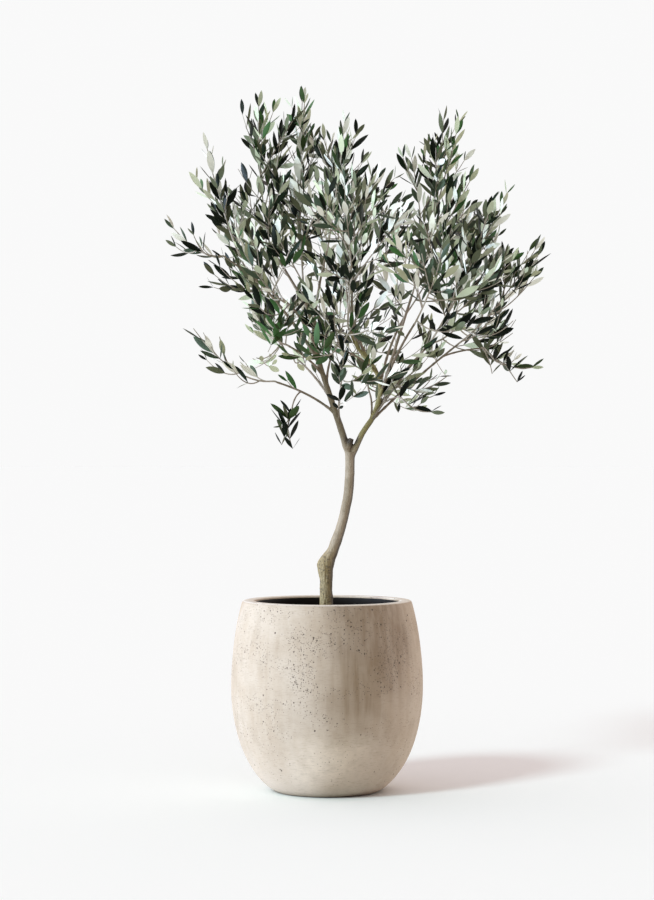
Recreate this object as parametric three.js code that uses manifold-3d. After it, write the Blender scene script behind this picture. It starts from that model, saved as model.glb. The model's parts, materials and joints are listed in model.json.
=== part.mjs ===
// A potted olive tree: a pale round-bellied pot, its soil, a slim trunk that leans and forks into two
// boughs, the limbs that leave them, and one mass of leafy twigs at the end of each limb.
// Millimetres, +Z up. The origin is the centre of the pot's flat underside.

import * as THREE from 'three';
import { mergeVertices } from 'three/addons/utils/BufferGeometryUtils.js';
import Module from 'manifold-3d';

const wasm = await Module();
wasm.setup();

// Pot
const POT_HEIGHT = 380;
const FOOT_RADIUS = 104;
const BELLY_RADIUS = 191.5;
const BELLY_HEIGHT = 210;
const RIM_RADIUS = 169;
const WALL = 26;
const FLOOR = 18;
const EDGE = 3; // rounding of the rim and the foot
const POT_SIDES = 28;
const LOWER_STEPS = 6; // straight stretches of the outline below and above the belly
const UPPER_STEPS = 4;

// The pot's outline bends towards these points between foot, belly and rim: radius and height
const FOOT_PULL = [145, 22];
const UNDER_BELLY_PULL = [193, 95];
const OVER_BELLY_PULL = [191.5, 275];
const RIM_PULL = [183, 330];

// Soil
const SOIL_TOP = 335;
const SOIL_EDGE_DROP = 4; // the soil sinks a little towards the wall
const SOIL_FLAT_RADIUS = 105;

// Clearance kept between two pieces that meet
const GAP = 0.3;

// Trunk: where its centre passes, and its radius there, from the cut at soil level to the fork
const TRUNK = [
  { x: -2, y: 0, z: SOIL_TOP + GAP, radius: 17 },
  { x: -1.5, y: 0, z: 372, radius: 13.8 },
  { x: -1.5, y: 0, z: 414, radius: 12.4 },
  { x: -2.5, y: 0, z: 447, radius: 15.6 },
  { x: 9, y: 0, z: 476, radius: 13 },
  { x: 26, y: 0, z: 519, radius: 10.3 },
  { x: 41, y: 4, z: 582, radius: 9.9 },
  { x: 45.5, y: 4, z: 632, radius: 9.9 },
  { x: 46, y: 2, z: 676, radius: 10 },
];

// Boughs: the share of the trunk at which each leaves, the bends it passes, and its end radii
const BOUGHS = {
  left: {
    share: 0.97,
    bends: [[26, 0, 728], [4, 6, 794], [-19, 4, 868], [-27, 0, 928], [-44, 8, 986]],
    radii: [7.6, 4],
  },
  right: {
    share: 0.95,
    bends: [[70, 0, 712], [94, -4, 750], [107, -6, 798], [96, 0, 842], [62, 10, 884], [44, 16, 925]],
    radii: [6.8, 3.6],
  },
};

// Limbs: the limb each one leaves, the share of it at which it leaves, its end and its end radii
const LIMBS = {
  low_left: { from: 'bough_left', share: 0.27, end: [-100, -20, 815], radii: [2.6, 1.8] },
  hanging: { from: 'limb_low_left', share: 0.62, end: [-70, -25, 760], radii: [1.7, 1.4] },
  left: { from: 'bough_left', share: 0.6, end: [-160, -40, 1040], radii: [3.4, 2.2] },
  far_left: { from: 'limb_left', share: 0.8, end: [-200, -55, 1060], radii: [2.2, 1.6] },
  left_low: { from: 'bough_left', share: 0.52, end: [-75, -60, 885], radii: [2.6, 1.9] },
  left_top: { from: 'bough_left', share: 0.88, end: [-110, 10, 1080], radii: [3.2, 2.2] },
  centre: { from: 'bough_left', share: 0.8, end: [0, -40, 1075], radii: [3, 2] },
  right_top: { from: 'bough_right', share: 0.42, end: [170, 0, 990], radii: [3.6, 2.3] },
  right: { from: 'bough_right', share: 0.34, end: [205, -30, 895], radii: [3, 2] },
  right_low: { from: 'bough_right', share: 0.28, end: [260, 20, 890], radii: [2.6, 1.8] },
  far_right: { from: 'limb_right_low', share: 0.85, end: [310, 30, 885], radii: [1.9, 1.5] },
  low_right: { from: 'bough_right', share: 0.25, end: [135, -30, 805], radii: [2.4, 1.7] },
  low_tip: { from: 'limb_low_right', share: 0.6, end: [140, -45, 785], radii: [1.7, 1.4] },
  back_left: { from: 'bough_left', share: 0.7, end: [-90, 130, 990], radii: [3, 2] },
  back: { from: 'bough_right', share: 0.75, end: [35, 120, 1040], radii: [3, 2] },
  back_right: { from: 'bough_right', share: 0.55, end: [160, 130, 955], radii: [3, 2] },
  front_left: { from: 'bough_left', share: 0.66, end: [-70, -130, 960], radii: [3, 2] },
  front: { from: 'bough_right', share: 0.85, end: [50, -110, 1000], radii: [3, 2] },
  front_right: { from: 'bough_right', share: 0.48, end: [170, -130, 925], radii: [3, 2] },
  inner_front: { from: 'bough_right', share: 0.64, end: [35, -70, 875], radii: [2.6, 1.8] },
  inner_back: { from: 'bough_left', share: 0.45, end: [15, 70, 885], radii: [2.6, 1.8] },
  low_front: { from: 'bough_left', share: 0.2, end: [25, -50, 790], radii: [2.2, 1.6] },
  low_back: { from: 'bough_right', share: 0.3, end: [85, 60, 800], radii: [2.2, 1.6] },
  right_back: { from: 'bough_right', share: 0.38, end: [210, 110, 895], radii: [2.6, 1.8] },
  left_back: { from: 'bough_left', share: 0.36, end: [-60, 90, 865], radii: [2.6, 1.8] },
};

// Foliage: for each limb or bough, where the mass's stem ends, how many side branches leave the stem,
// how far they stand out from it, and the seed of the mass's own dice
const FOLIAGE = {
  low_left: { tip: [-295, -70, 940], branches: 4, spread: 30, seed: 11 },
  hanging: { tip: [-90, -40, 690], branches: 2, spread: 20, seed: 137 },
  left: { tip: [-250, -20, 1315], branches: 4, spread: 40, seed: 20 },
  far_left: { tip: [-335, -70, 1135], branches: 3, spread: 30, seed: 20 },
  left_low: { tip: [-165, -120, 970], branches: 4, spread: 80, seed: 48 },
  left_top: { tip: [-140, 0, 1405], branches: 5, spread: 65, seed: 40 },
  bough_left: { tip: [-50, 0, 1415], branches: 5, spread: 70, seed: 4 },
  centre: { tip: [40, -20, 1370], branches: 4, spread: 60, seed: 116 },
  bough_right: { tip: [95, 40, 1270], branches: 5, spread: 90, seed: 117 },
  right_top: { tip: [275, 0, 1375], branches: 6, spread: 70, seed: 104 },
  right: { tip: [375, -20, 1225], branches: 6, spread: 55, seed: 59 },
  right_low: { tip: [440, 0, 1110], branches: 6, spread: 50, seed: 27 },
  far_right: { tip: [410, 10, 845], branches: 4, spread: 30, seed: 55 },
  low_right: { tip: [275, -70, 835], branches: 4, spread: 30, seed: 20 },
  low_tip: { tip: [205, -60, 755], branches: 2, spread: 20, seed: 41 },
  back_left: { tip: [-190, 230, 1195], branches: 5, spread: 95, seed: 122 },
  back: { tip: [-5, 230, 1330], branches: 5, spread: 100, seed: 141 },
  back_right: { tip: [305, 230, 1215], branches: 5, spread: 100, seed: 54 },
  front_left: { tip: [-180, -230, 1080], branches: 4, spread: 90, seed: 123 },
  front: { tip: [25, -240, 1245], branches: 5, spread: 100, seed: 116 },
  front_right: { tip: [250, -240, 1135], branches: 5, spread: 95, seed: 141 },
  inner_front: { tip: [5, -210, 1005], branches: 4, spread: 75, seed: 28 },
  inner_back: { tip: [50, 210, 1025], branches: 4, spread: 95, seed: 45 },
  low_front: { tip: [35, -160, 895], branches: 3, spread: 50, seed: 41 },
  low_back: { tip: [80, 170, 920], branches: 3, spread: 75, seed: 51 },
  right_back: { tip: [350, 190, 1025], branches: 4, spread: 90, seed: 22 },
  left_back: { tip: [-170, 200, 995], branches: 4, spread: 70, seed: 51 },
};

// Colour and roughness of each finish
const FINISHES = {
  concrete: { color: 0xc9bba8, roughness: 0.85 },
  soil: { color: 0x3a2f27, roughness: 0.95 },
  bark: { color: 0x8f8168, roughness: 0.8 },
  greenBark: { color: 0x857c5e, roughness: 0.8 },
  leaves: { color: 0x5f7a5c, roughness: 0.6 },
};

// Roundness of the trunk and boughs, and of the limbs
const BOUGH_SIDES = 9;
const BEND_STEPS = 2;
const LIMB_SIDES = 5;
const LIMB_STEPS = 3;

// How limbs and twigs bend, as shares of their length
const LIMB_LEAD = 0.45; // a limb is drawn this far along its first heading
const KEPT_HEADING = 0.5; // weight of the parent's heading in a limb's first heading
const PULL_SHARE = 0.35; // where along a twig's way its pull point lies
const PULL_LEAD = 0.12; // and how far that is drawn along the twig's first heading
const SAG = 0.45; // how far a level twig's pull point hangs

// Twigs
const STEM_RADII = [2, 1.3];
const BRANCH_RADII = [1.8, 1.3];
const STRAIGHT_START = 6; // a stem runs straight on from its limb for this far
const TWIG_SIDES = 3;
const STEM_STEPS = 3;
const BRANCH_STEPS = 2;
const SHORTEST_SHARE = 0.35; // a twig that is cut back further than this isn't grown

// Side branches: where they leave the stem and end beside it, as shares of the stem's length
const BRANCH_STRIDE = 2; // the dice place every branch, and each second one is built
const FIRST_BRANCH = 0.03;
const BRANCH_ZONE = 0.55;
const BRANCH_JITTER = 0.6; // in steps between branches, and in radians around the stem
const BRANCH_AHEAD = [0.25, 0.6]; // how much further up the stem a branch ends, least and most
const SPREAD_RANGE = [0.7, 1.4]; // least and most of the mass's spread

// Leaves: crossed pairs along the outer part of each twig
const LEAF_LENGTH = 48; // in a mass with no spread
const LEAF_GROWTH = 0.55; // what each millimetre of spread adds to it
const LENGTH_RANGE = [0.82, 1.18];
const LEAF_SLIMNESS = 0.32; // width as a share of the length
const LEAF_THICKNESS = 2;
const LEAF_WIDEST = 0.42; // share of the leaf's length at which it is widest
const LEAF_SPACING = 27;
const LEAF_SINK = 0.4; // how far behind the twig's centre a leaf begins
const LEAF_NECK = 7; // beyond this far from its root a leaf is clear of its own twig
const BARE_SHARE = 0.38; // a twig's inner share that has no leaves
const LAST_PAIR = 0.995; // the share of a twig at which its last pair stands
const TAPER_FROM = 0.6; // the share of a twig from which its leaves get smaller
const TIP_TAPER = 0.6; // and how much of their length they have lost at its tip
const TIP_LEAF = 26; // a stem ends this far short of the mass's tip, and its last leaves reach on
const WIDE_OPENING = 52; // degrees between leaf and twig at the twig's root
const TIP_OPENING = 28; // and at its tip
const OPENING_RANGE = [0.8, 1.25];
const PAIR_JITTER = 0.5; // radians by which a pair misses a right angle to the one below
const LEAF_JITTER = 0.35;

// Space kept by each mass
const MARGIN = 1.2; // half the width of the clear sheet between two masses
const LIMB_MARGIN = 2;
const SIDE_REACH = 34; // how far leaves stand out beyond the spread of the side branches
const TIP_REACH = 36; // and how far past the end of the stem
const SPACE_TESTS = 24; // points along a twig that are tested for room
const TESTED_TURNS = [0, 2, 4]; // radians around the twig at which its skin is tested there
const LEAF_BASE = 0.4; // how far from its root to its widest section a leaf's lower half is tested

const SEEDS_PER_MASS = 100;
const MERGE_DISTANCE = 1e-4;
const UPRIGHT = 0.05; // a heading whose level part is smaller counts as upright
const UP = new THREE.Vector3(0, 0, 1);
const GOLDEN_ANGLE = THREE.MathUtils.degToRad(137.5);

// Dice: numbers from 0 to 1 that are the same for the same seeds.
function dice(...seeds) {
  let state = 0;
  for (const seed of seeds) {
    state = (Math.imul(state, 31) + Math.imul(seed, 7919) + 17) >>> 0;
  }
  const roll = () => {
    state = (state + 0x6d2b79f5) >>> 0;
    let mix = Math.imul(state ^ (state >>> 15), state | 1);
    mix ^= mix + Math.imul(mix ^ (mix >>> 7), mix | 61);
    return ((mix ^ (mix >>> 14)) >>> 0) / 4294967296;
  };
  roll();
  roll();
  roll();
  return roll;
}

const vector = (list) => new THREE.Vector3(...list);
const between = ([least, most], share) => least + (most - least) * share;
const along = (from, direction, distance) => from.clone().addScaledVector(direction, distance);
const towards = (from, to) => to.clone().sub(from).normalize();

// Two directions square to a heading, the first of them level.
function squareTo(heading) {
  const side = new THREE.Vector3().crossVectors(heading, UP);
  if (side.length() < UPRIGHT) {
    side.set(1, 0, 0);
  }
  side.normalize();
  const top = new THREE.Vector3().crossVectors(side, heading).normalize();
  return { side, top };
}

// The direction square to a heading that lies at a turn around it.
function outward(heading, turn) {
  const { side, top } = squareTo(heading);
  return side.multiplyScalar(Math.cos(turn)).addScaledVector(top, Math.sin(turn));
}

// A heading tipped over by an angle, towards a turn around it.
function tipped(heading, turn, angle) {
  const out = outward(heading, turn);
  return heading.clone().multiplyScalar(Math.cos(angle)).addScaledVector(out, Math.sin(angle)).normalize();
}

// The centre line of a limb or twig, with its radius at each point.
class Path {
  constructor(points, radii) {
    this.points = points;
    this.runs = [0];
    for (let i = 1; i < points.length; i += 1) {
      this.runs.push(this.runs[i - 1] + points[i].distanceTo(points[i - 1]));
    }
    this.length = this.runs.at(-1);
    const [root, tip] = [radii[0], radii.at(-1)];
    const tapers = radii.length === 2;
    this.radii = tapers ? this.runs.map((run) => root + (tip - root) * (run / this.length)) : radii;
  }

  // The point, heading and radius at a share of the length.
  at(share) {
    const run = Math.min(Math.max(share, 0), 1) * this.length;
    let i = 0;
    while (i < this.points.length - 2 && this.runs[i + 1] < run) {
      i += 1;
    }
    const [a, b] = [this.points[i], this.points[i + 1]];
    const t = (run - this.runs[i]) / (this.runs[i + 1] - this.runs[i]);
    const radius = this.radii[i] + (this.radii[i + 1] - this.radii[i]) * t;
    return { point: a.clone().lerp(b, t), heading: towards(a, b), radius };
  }

  // The heading at point i, halfway between those of the two stretches that meet there.
  headingAt(i) {
    const before = towards(this.points[Math.max(i - 1, 0)], this.points[Math.max(i, 1)]);
    const last = this.points.length - 1;
    const after = towards(this.points[Math.min(i, last - 1)], this.points[Math.min(i + 1, last)]);
    return before.add(after).normalize();
  }
}

// A smooth curve through points, with the same number of steps on each stretch between two of them.
function throughPoints(points, steps) {
  const first = points[0].clone().multiplyScalar(2).sub(points[1]);
  const last = points.at(-1).clone().multiplyScalar(2).sub(points.at(-2));
  const all = [first, ...points, last];
  const curve = [points[0].clone()];
  for (let i = 1; i < all.length - 2; i += 1) {
    const [a, b, c, d] = all.slice(i - 1, i + 3);
    for (let step = 1; step <= steps; step += 1) {
      const t = step / steps;
      const linear = c.clone().sub(a);
      const square = a.clone().multiplyScalar(2).addScaledVector(b, -5).addScaledVector(c, 4).sub(d);
      const cube = b.clone().multiplyScalar(3).sub(a).addScaledVector(c, -3).add(d);
      const twice = b.clone().multiplyScalar(2).addScaledVector(linear, t);
      twice.addScaledVector(square, t ** 2).addScaledVector(cube, t ** 3);
      curve.push(twice.multiplyScalar(0.5));
    }
  }
  return curve;
}

// A curve that bends once, from start to end past a pull point.
function bentOnce(start, pull, end, steps) {
  const curve = new THREE.QuadraticBezierCurve3(start, pull, end);
  return curve.getPoints(steps);
}

// The way of a leading twig: the flatter it runs, the more it hangs before it turns up.
function leaderPoints(root, heading, end, steps) {
  const way = end.clone().sub(root);
  const size = way.length();
  const level = Math.hypot(way.x, way.y);
  const sag = SAG * level * (level / size) ** 2;
  const pull = along(root, way, PULL_SHARE);
  pull.addScaledVector(heading, size * PULL_LEAD);
  pull.z -= sag;
  return bentOnce(root, pull, end, steps);
}

// The paths of the trunk, the boughs and the limbs, each by its node's name.
function growLimbs() {
  const paths = {};
  const trunkPoints = throughPoints(TRUNK.map(({ x, y, z }) => new THREE.Vector3(x, y, z)), BEND_STEPS);
  const trunkRadii = throughPoints(TRUNK.map(({ radius }) => new THREE.Vector3(radius, 0, 0)), BEND_STEPS);
  paths.trunk = new Path(trunkPoints, trunkRadii.map((r) => r.x));
  for (const [name, { share, bends, radii }] of Object.entries(BOUGHS)) {
    const root = paths.trunk.at(share).point;
    paths[`bough_${name}`] = new Path(throughPoints([root, ...bends.map(vector)], BEND_STEPS), radii);
  }
  for (const [name, { from, share, end, radii }] of Object.entries(LIMBS)) {
    const { point, heading } = paths[from].at(share);
    const tip = vector(end);
    const lead = heading.multiplyScalar(KEPT_HEADING).add(towards(point, tip)).normalize();
    const pull = along(point, lead, point.distanceTo(tip) * LIMB_LEAD);
    paths[`limb_${name}`] = new Path(bentOnce(point, pull, tip, LIMB_STEPS), radii);
  }
  return paths;
}

// The leading twigs of a mass: its stem, and the side branches that leave the stem's lower half.
function growLeaders(limb, { tip, branches, spread, seed }) {
  const { point: start, heading } = limb.at(1);
  const goal = vector(tip);
  const end = along(goal, towards(start, goal), -TIP_LEAF);
  const bend = along(start, heading, STRAIGHT_START);
  const stem = new Path([start, ...leaderPoints(bend, heading, end, STEM_STEPS)], STEM_RADII);
  const leaders = [stem];
  const roll = dice(seed, 3);
  let turn = roll() * 2 * Math.PI;
  for (let i = 0; i < branches; i += 1) {
    const share = FIRST_BRANCH + (BRANCH_ZONE * (i + BRANCH_JITTER * roll())) / branches;
    turn += GOLDEN_ANGLE + BRANCH_JITTER * (roll() - 0.5);
    const root = stem.at(share);
    const beside = stem.at(Math.min(1, share + between(BRANCH_AHEAD, roll())));
    const reach = spread * between(SPREAD_RANGE, roll());
    const branchEnd = along(beside.point, outward(beside.heading, turn), reach);
    if (i % BRANCH_STRIDE === 0) {
      const points = leaderPoints(root.point, root.heading, branchEnd, BRANCH_STEPS);
      leaders.push(new Path(points, BRANCH_RADII));
    }
  }
  return leaders;
}

// The leaves of a twig, in crossed pairs: each with its root, its axis, its face and its length.
function growLeaves(path, seed, fullLength) {
  const roll = dice(seed, 11);
  const leaves = [];
  const pairs = Math.max(1, Math.floor((path.length * (1 - BARE_SHARE)) / LEAF_SPACING));
  let turn = roll() * Math.PI;
  for (let i = 0; i <= pairs; i += 1) {
    const share = Math.min(LAST_PAIR, BARE_SHARE + ((1 - BARE_SHARE) * i) / pairs);
    const { point, heading } = path.at(share);
    turn += Math.PI / 2 + PAIR_JITTER * (roll() - 0.5);
    const taper = 1 - TIP_TAPER * Math.max(0, (share - TAPER_FROM) / (1 - TAPER_FROM));
    const opening = THREE.MathUtils.degToRad(between([WIDE_OPENING, TIP_OPENING], share));
    for (const side of [0, Math.PI]) {
      const angle = opening * between(OPENING_RANGE, roll());
      const axis = tipped(heading, turn + side + LEAF_JITTER * (roll() - 0.5), angle);
      const face = heading.clone().addScaledVector(axis, -heading.dot(axis)).normalize();
      const length = fullLength * taper * between(LENGTH_RANGE, roll());
      leaves.push({ root: along(point, axis, -LEAF_SINK), axis, face, length, share });
    }
  }
  return leaves;
}

// A geometry with only its shared vertices left, as a solid that can be joined and cut.
function solidOf(geometry) {
  geometry.deleteAttribute('normal');
  geometry.deleteAttribute('uv');
  const merged = mergeVertices(geometry, MERGE_DISTANCE);
  return new wasm.Manifold(new wasm.Mesh({
    numProp: 3,
    vertProperties: new Float32Array(merged.attributes.position.array),
    triVerts: new Uint32Array(merged.index.array),
  }));
}

function geometryOf(solid) {
  const { vertProperties, triVerts } = solid.getMesh();
  const geometry = new THREE.BufferGeometry();
  geometry.setAttribute('position', new THREE.BufferAttribute(vertProperties, 3));
  geometry.setIndex(new THREE.BufferAttribute(triVerts, 1));
  return geometry;
}

// A tapering round limb: a cylinder whose rings are set along the path, each made fatter by `extra`.
// A first heading may be given, so that the root's end is cut square to it.
function limbSolid(path, sides, extra = 0, firstHeading = path.headingAt(0)) {
  const steps = path.points.length - 1;
  const geometry = new THREE.CylinderGeometry(1, 1, 1, sides, steps);
  const position = geometry.attributes.position;
  const frames = [];
  let side = outward(firstHeading, 0);
  for (let i = 0; i <= steps; i += 1) {
    const heading = i === 0 ? firstHeading : path.headingAt(i);
    side = side.clone().addScaledVector(heading, -side.dot(heading)).normalize();
    frames.push({ side, top: new THREE.Vector3().crossVectors(side, heading) });
  }
  for (let i = 0; i < position.count; i += 1) {
    const ring = Math.round((position.getY(i) + 0.5) * steps);
    const radius = path.radii[ring] + extra;
    const point = path.points[ring].clone();
    point.addScaledVector(frames[ring].side, position.getX(i) * radius);
    point.addScaledVector(frames[ring].top, position.getZ(i) * radius);
    position.setXYZ(i, point.x, point.y, point.z);
  }
  return solidOf(geometry);
}

// The part of a path up to a share of its length.
function shortened(path, share) {
  const kept = path.runs.filter((run) => run < share * path.length - 1).length;
  const { point, radius } = path.at(share);
  return new Path([...path.points.slice(0, kept), point], [...path.radii.slice(0, kept), radius]);
}

// The six corners of a leaf: its root, its tip and the four points of its widest section.
function leafCorners({ root, axis, face, length }) {
  const across = new THREE.Vector3().crossVectors(axis, face);
  const middle = along(root, axis, length * LEAF_WIDEST);
  const halfWidth = (LEAF_SLIMNESS * length) / 2;
  return {
    root,
    tip: along(root, axis, length),
    left: along(middle, across, -halfWidth),
    right: along(middle, across, halfWidth),
    under: along(middle, face, -LEAF_THICKNESS / 2),
    over: along(middle, face, LEAF_THICKNESS / 2),
  };
}

// A leaf is an octahedron whose corners are drawn out to the leaf's.
function leafSolid(leaf) {
  const corners = leafCorners(leaf);
  const geometry = new THREE.OctahedronGeometry(1, 0);
  const position = geometry.attributes.position;
  for (let i = 0; i < position.count; i += 1) {
    const [x, y, z] = [position.getX(i), position.getY(i), position.getZ(i)].map(Math.round);
    const sideways = x > 0 ? corners.right : corners.left;
    const upright = y > 0 ? corners.over : corners.under;
    const lengthways = z > 0 ? corners.root : corners.tip;
    const corner = z !== 0 ? lengthways : (x !== 0 ? sideways : upright);
    position.setXYZ(i, corner.x, corner.y, corner.z);
  }
  return solidOf(geometry);
}

// The distance from a point to the nearest point of a path's centre line, with the radius there.
function distanceTo(path, point) {
  let nearest = { distance: Infinity, radius: 0 };
  const line = new THREE.Line3();
  const foot = new THREE.Vector3();
  for (let i = 1; i < path.points.length; i += 1) {
    line.set(path.points[i - 1], path.points[i]);
    line.closestPointToPoint(point, true, foot);
    const distance = foot.distanceTo(point);
    if (distance < nearest.distance) {
      nearest = { distance, radius: Math.max(path.radii[i - 1], path.radii[i]) };
    }
  }
  return nearest;
}

// Whether a point is in the space of the mass: near its stem and nearest to that one of all stems,
// not far past the stem's end, and clear of every limb.
function inSpace(point, name, stems, limbs) {
  const { point: end, heading } = stems[name].at(1);
  const own = distanceTo(stems[name], point).distance + 2 * MARGIN;
  if (own > FOLIAGE[name].spread + SIDE_REACH || point.clone().sub(end).dot(heading) > TIP_REACH) {
    return false;
  }
  for (const [other, stem] of Object.entries(stems)) {
    if (other !== name && distanceTo(stem, point).distance < own) {
      return false;
    }
  }
  return limbs.every((limb) => {
    const { distance, radius } = distanceTo(limb, point);
    return distance > radius + LIMB_MARGIN;
  });
}

// The share of a twig, from its root, that stays in the mass's space.
function shareInSpace(path, isFree) {
  for (let i = 1; i <= SPACE_TESTS; i += 1) {
    const share = i / SPACE_TESTS;
    const { point, heading, radius } = path.at(share);
    const sides = TESTED_TURNS.map((turn) => along(point, outward(heading, turn), radius));
    if (share * path.length > STRAIGHT_START && !sides.every(isFree)) {
      return (i - 1) / SPACE_TESTS;
    }
  }
  return 1;
}

// Whether a whole leaf stays in the mass's space: its corners, and points between them.
function leafInSpace(leaf, isFree) {
  const { root, tip, left, right, under, over } = leafCorners(leaf);
  const base = root.clone().lerp(over, LEAF_BASE);
  const halfway = (from, to) => from.clone().lerp(to, 0.5);
  const edges = [left, right].flatMap((corner) => [halfway(corner, tip), halfway(corner, base)]);
  return [tip, left, right, under, over, base, ...edges].every(isFree);
}

// A mass of foliage: twigs that branch from one stem, with leaves sunk into them, all one solid.
// A leaf that would run into another leaf or twig is left out.
function foliageSolid(name, leaders, stems, limbs) {
  const { seed, spread } = FOLIAGE[name];
  const fullLength = LEAF_LENGTH + LEAF_GROWTH * spread;
  const isFree = (point) => inSpace(point, name, stems, limbs);
  const shares = leaders.map((leader, number) => (number === 0 ? 1 : shareInSpace(leader, isFree)));
  const twigs = leaders.map((leader, number) => shortened(leader, shares[number]));
  twigs[0].points[0] = along(leaders[0].points[0], leaders[0].headingAt(0), GAP);
  const grown = twigs.filter((twig, number) => shares[number] > SHORTEST_SHARE);
  let whole = grown.map((twig) => limbSolid(twig, TWIG_SIDES)).reduce((joined, twig) => joined.add(twig));
  leaders.forEach((leader, number) => {
    for (const leaf of growLeaves(leader, seed * SEEDS_PER_MASS + number, fullLength)) {
      const isOnTwig = shares[number] > SHORTEST_SHARE && leaf.share <= shares[number];
      if (isOnTwig && leafInSpace(leaf, isFree)) {
        const blade = leafSolid({ ...leaf, root: along(leaf.root, leaf.axis, LEAF_NECK) });
        if (whole.intersect(blade).isEmpty()) {
          whole = whole.add(leafSolid(leaf));
        }
      }
    }
  });
  return whole;
}

function meshOf(name, geometry, { color, roughness }) {
  const mesh = new THREE.Mesh(geometry, new THREE.MeshStandardMaterial({ color, roughness, metalness: 0 }));
  mesh.name = name;
  return mesh;
}

// The pot's outer outline from foot to rim, moved in by a distance, between two heights.
function wallOutline(inset, low, high) {
  const foot = new THREE.Vector2(FOOT_RADIUS, 0);
  const belly = new THREE.Vector2(BELLY_RADIUS, BELLY_HEIGHT);
  const rim = new THREE.Vector2(RIM_RADIUS, POT_HEIGHT);
  const pull = (place) => new THREE.Vector2(...place);
  const lower = new THREE.CubicBezierCurve(foot, pull(FOOT_PULL), pull(UNDER_BELLY_PULL), belly);
  const upper = new THREE.CubicBezierCurve(belly, pull(OVER_BELLY_PULL), pull(RIM_PULL), rim);
  const points = [];
  const sample = (curve, t) => {
    const tangent = curve.getTangent(t);
    const point = curve.getPoint(t);
    points.push(new THREE.Vector2(point.x - tangent.y * inset, point.y + tangent.x * inset));
  };
  for (let i = 0; i < LOWER_STEPS; i += 1) {
    sample(lower, i / LOWER_STEPS);
  }
  for (let i = 0; i <= UPPER_STEPS; i += 1) {
    sample(upper, i / UPPER_STEPS);
  }
  const outline = [];
  for (let i = 1; i < points.length; i += 1) {
    const [a, b] = [points[i - 1], points[i]];
    if (a.y < low && b.y > low) {
      outline.push(a.clone().lerp(b, (low - a.y) / (b.y - a.y)));
    }
    if (b.y > low && b.y < high) {
      outline.push(b.clone());
    }
    if (a.y < high && b.y >= high) {
      outline.push(a.clone().lerp(b, (high - a.y) / (b.y - a.y)));
    }
  }
  return outline;
}

function turned(outline) {
  const geometry = new THREE.LatheGeometry(outline, POT_SIDES);
  geometry.rotateX(Math.PI / 2);
  return geometryOf(solidOf(geometry));
}

function potGeometry() {
  const outside = wallOutline(0, EDGE, POT_HEIGHT - EDGE);
  const inside = wallOutline(WALL, FLOOR, POT_HEIGHT - EDGE).reverse();
  const innerRim = inside[0].x;
  const outline = [
    new THREE.Vector2(0, 0),
    new THREE.Vector2(FOOT_RADIUS - EDGE, 0),
    ...outside,
    new THREE.Vector2(RIM_RADIUS - EDGE, POT_HEIGHT),
    new THREE.Vector2(innerRim + EDGE, POT_HEIGHT),
    ...inside,
    new THREE.Vector2(0, FLOOR),
  ];
  return turned(outline);
}

function soilGeometry() {
  const side = wallOutline(WALL + GAP, FLOOR + GAP, SOIL_TOP - SOIL_EDGE_DROP);
  const outline = [
    new THREE.Vector2(0, FLOOR + GAP),
    ...side,
    new THREE.Vector2(SOIL_FLAT_RADIUS, SOIL_TOP),
    new THREE.Vector2(0, SOIL_TOP),
  ];
  return turned(outline);
}

function buildTree() {
  const tree = new THREE.Group();
  tree.add(meshOf('pot', potGeometry(), FINISHES.concrete));
  tree.add(meshOf('soil', soilGeometry(), FINISHES.soil));

  // Each limb is cut back from those that were made before it, so that it meets them at a gap.
  const paths = growLimbs();
  const fattened = [];
  for (const [name, path] of Object.entries(paths)) {
    const isTrunk = name === 'trunk';
    const sides = name.startsWith('limb') ? LIMB_SIDES : BOUGH_SIDES;
    const firstHeading = isTrunk ? UP.clone() : path.headingAt(0);
    const whole = limbSolid(path, sides, 0, firstHeading);
    const cut = fattened.reduce((rest, earlier) => rest.subtract(earlier), whole);
    const largest = cut.decompose().sort((a, b) => b.volume() - a.volume())[0];
    tree.add(meshOf(name, geometryOf(largest), isTrunk ? FINISHES.bark : FINISHES.greenBark));
    fattened.push(limbSolid(path, sides, GAP, firstHeading));
  }

  const pathOf = (name) => paths[`limb_${name}`] ?? paths[name];
  const leaders = {};
  const stems = {};
  for (const [name, mass] of Object.entries(FOLIAGE)) {
    leaders[name] = growLeaders(pathOf(name), mass);
    stems[name] = leaders[name][0];
  }
  for (const name of Object.keys(FOLIAGE)) {
    const solid = foliageSolid(name, leaders[name], stems, Object.values(paths));
    const label = name.replace('bough', 'crown');
    tree.add(meshOf(`foliage_${label}`, geometryOf(solid), FINISHES.leaves));
  }
  return tree;
}

export default buildTree();
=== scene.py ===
"""A potted olive tree: a round-bellied pot of pale concrete, dark potting soil, a slim trunk that leans and
forks into two boughs, and an open crown of narrow leaves, dark green above and silver below.

The tree is grown in millimetres by the rule that shapes its solids, carried on to finer twigs, and every
finished mesh is in metres. The origin is the centre of the pot's flat underside, with +Z up.
"""

import json
import math

import bpy
import numpy as np
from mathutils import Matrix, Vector, noise

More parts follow.
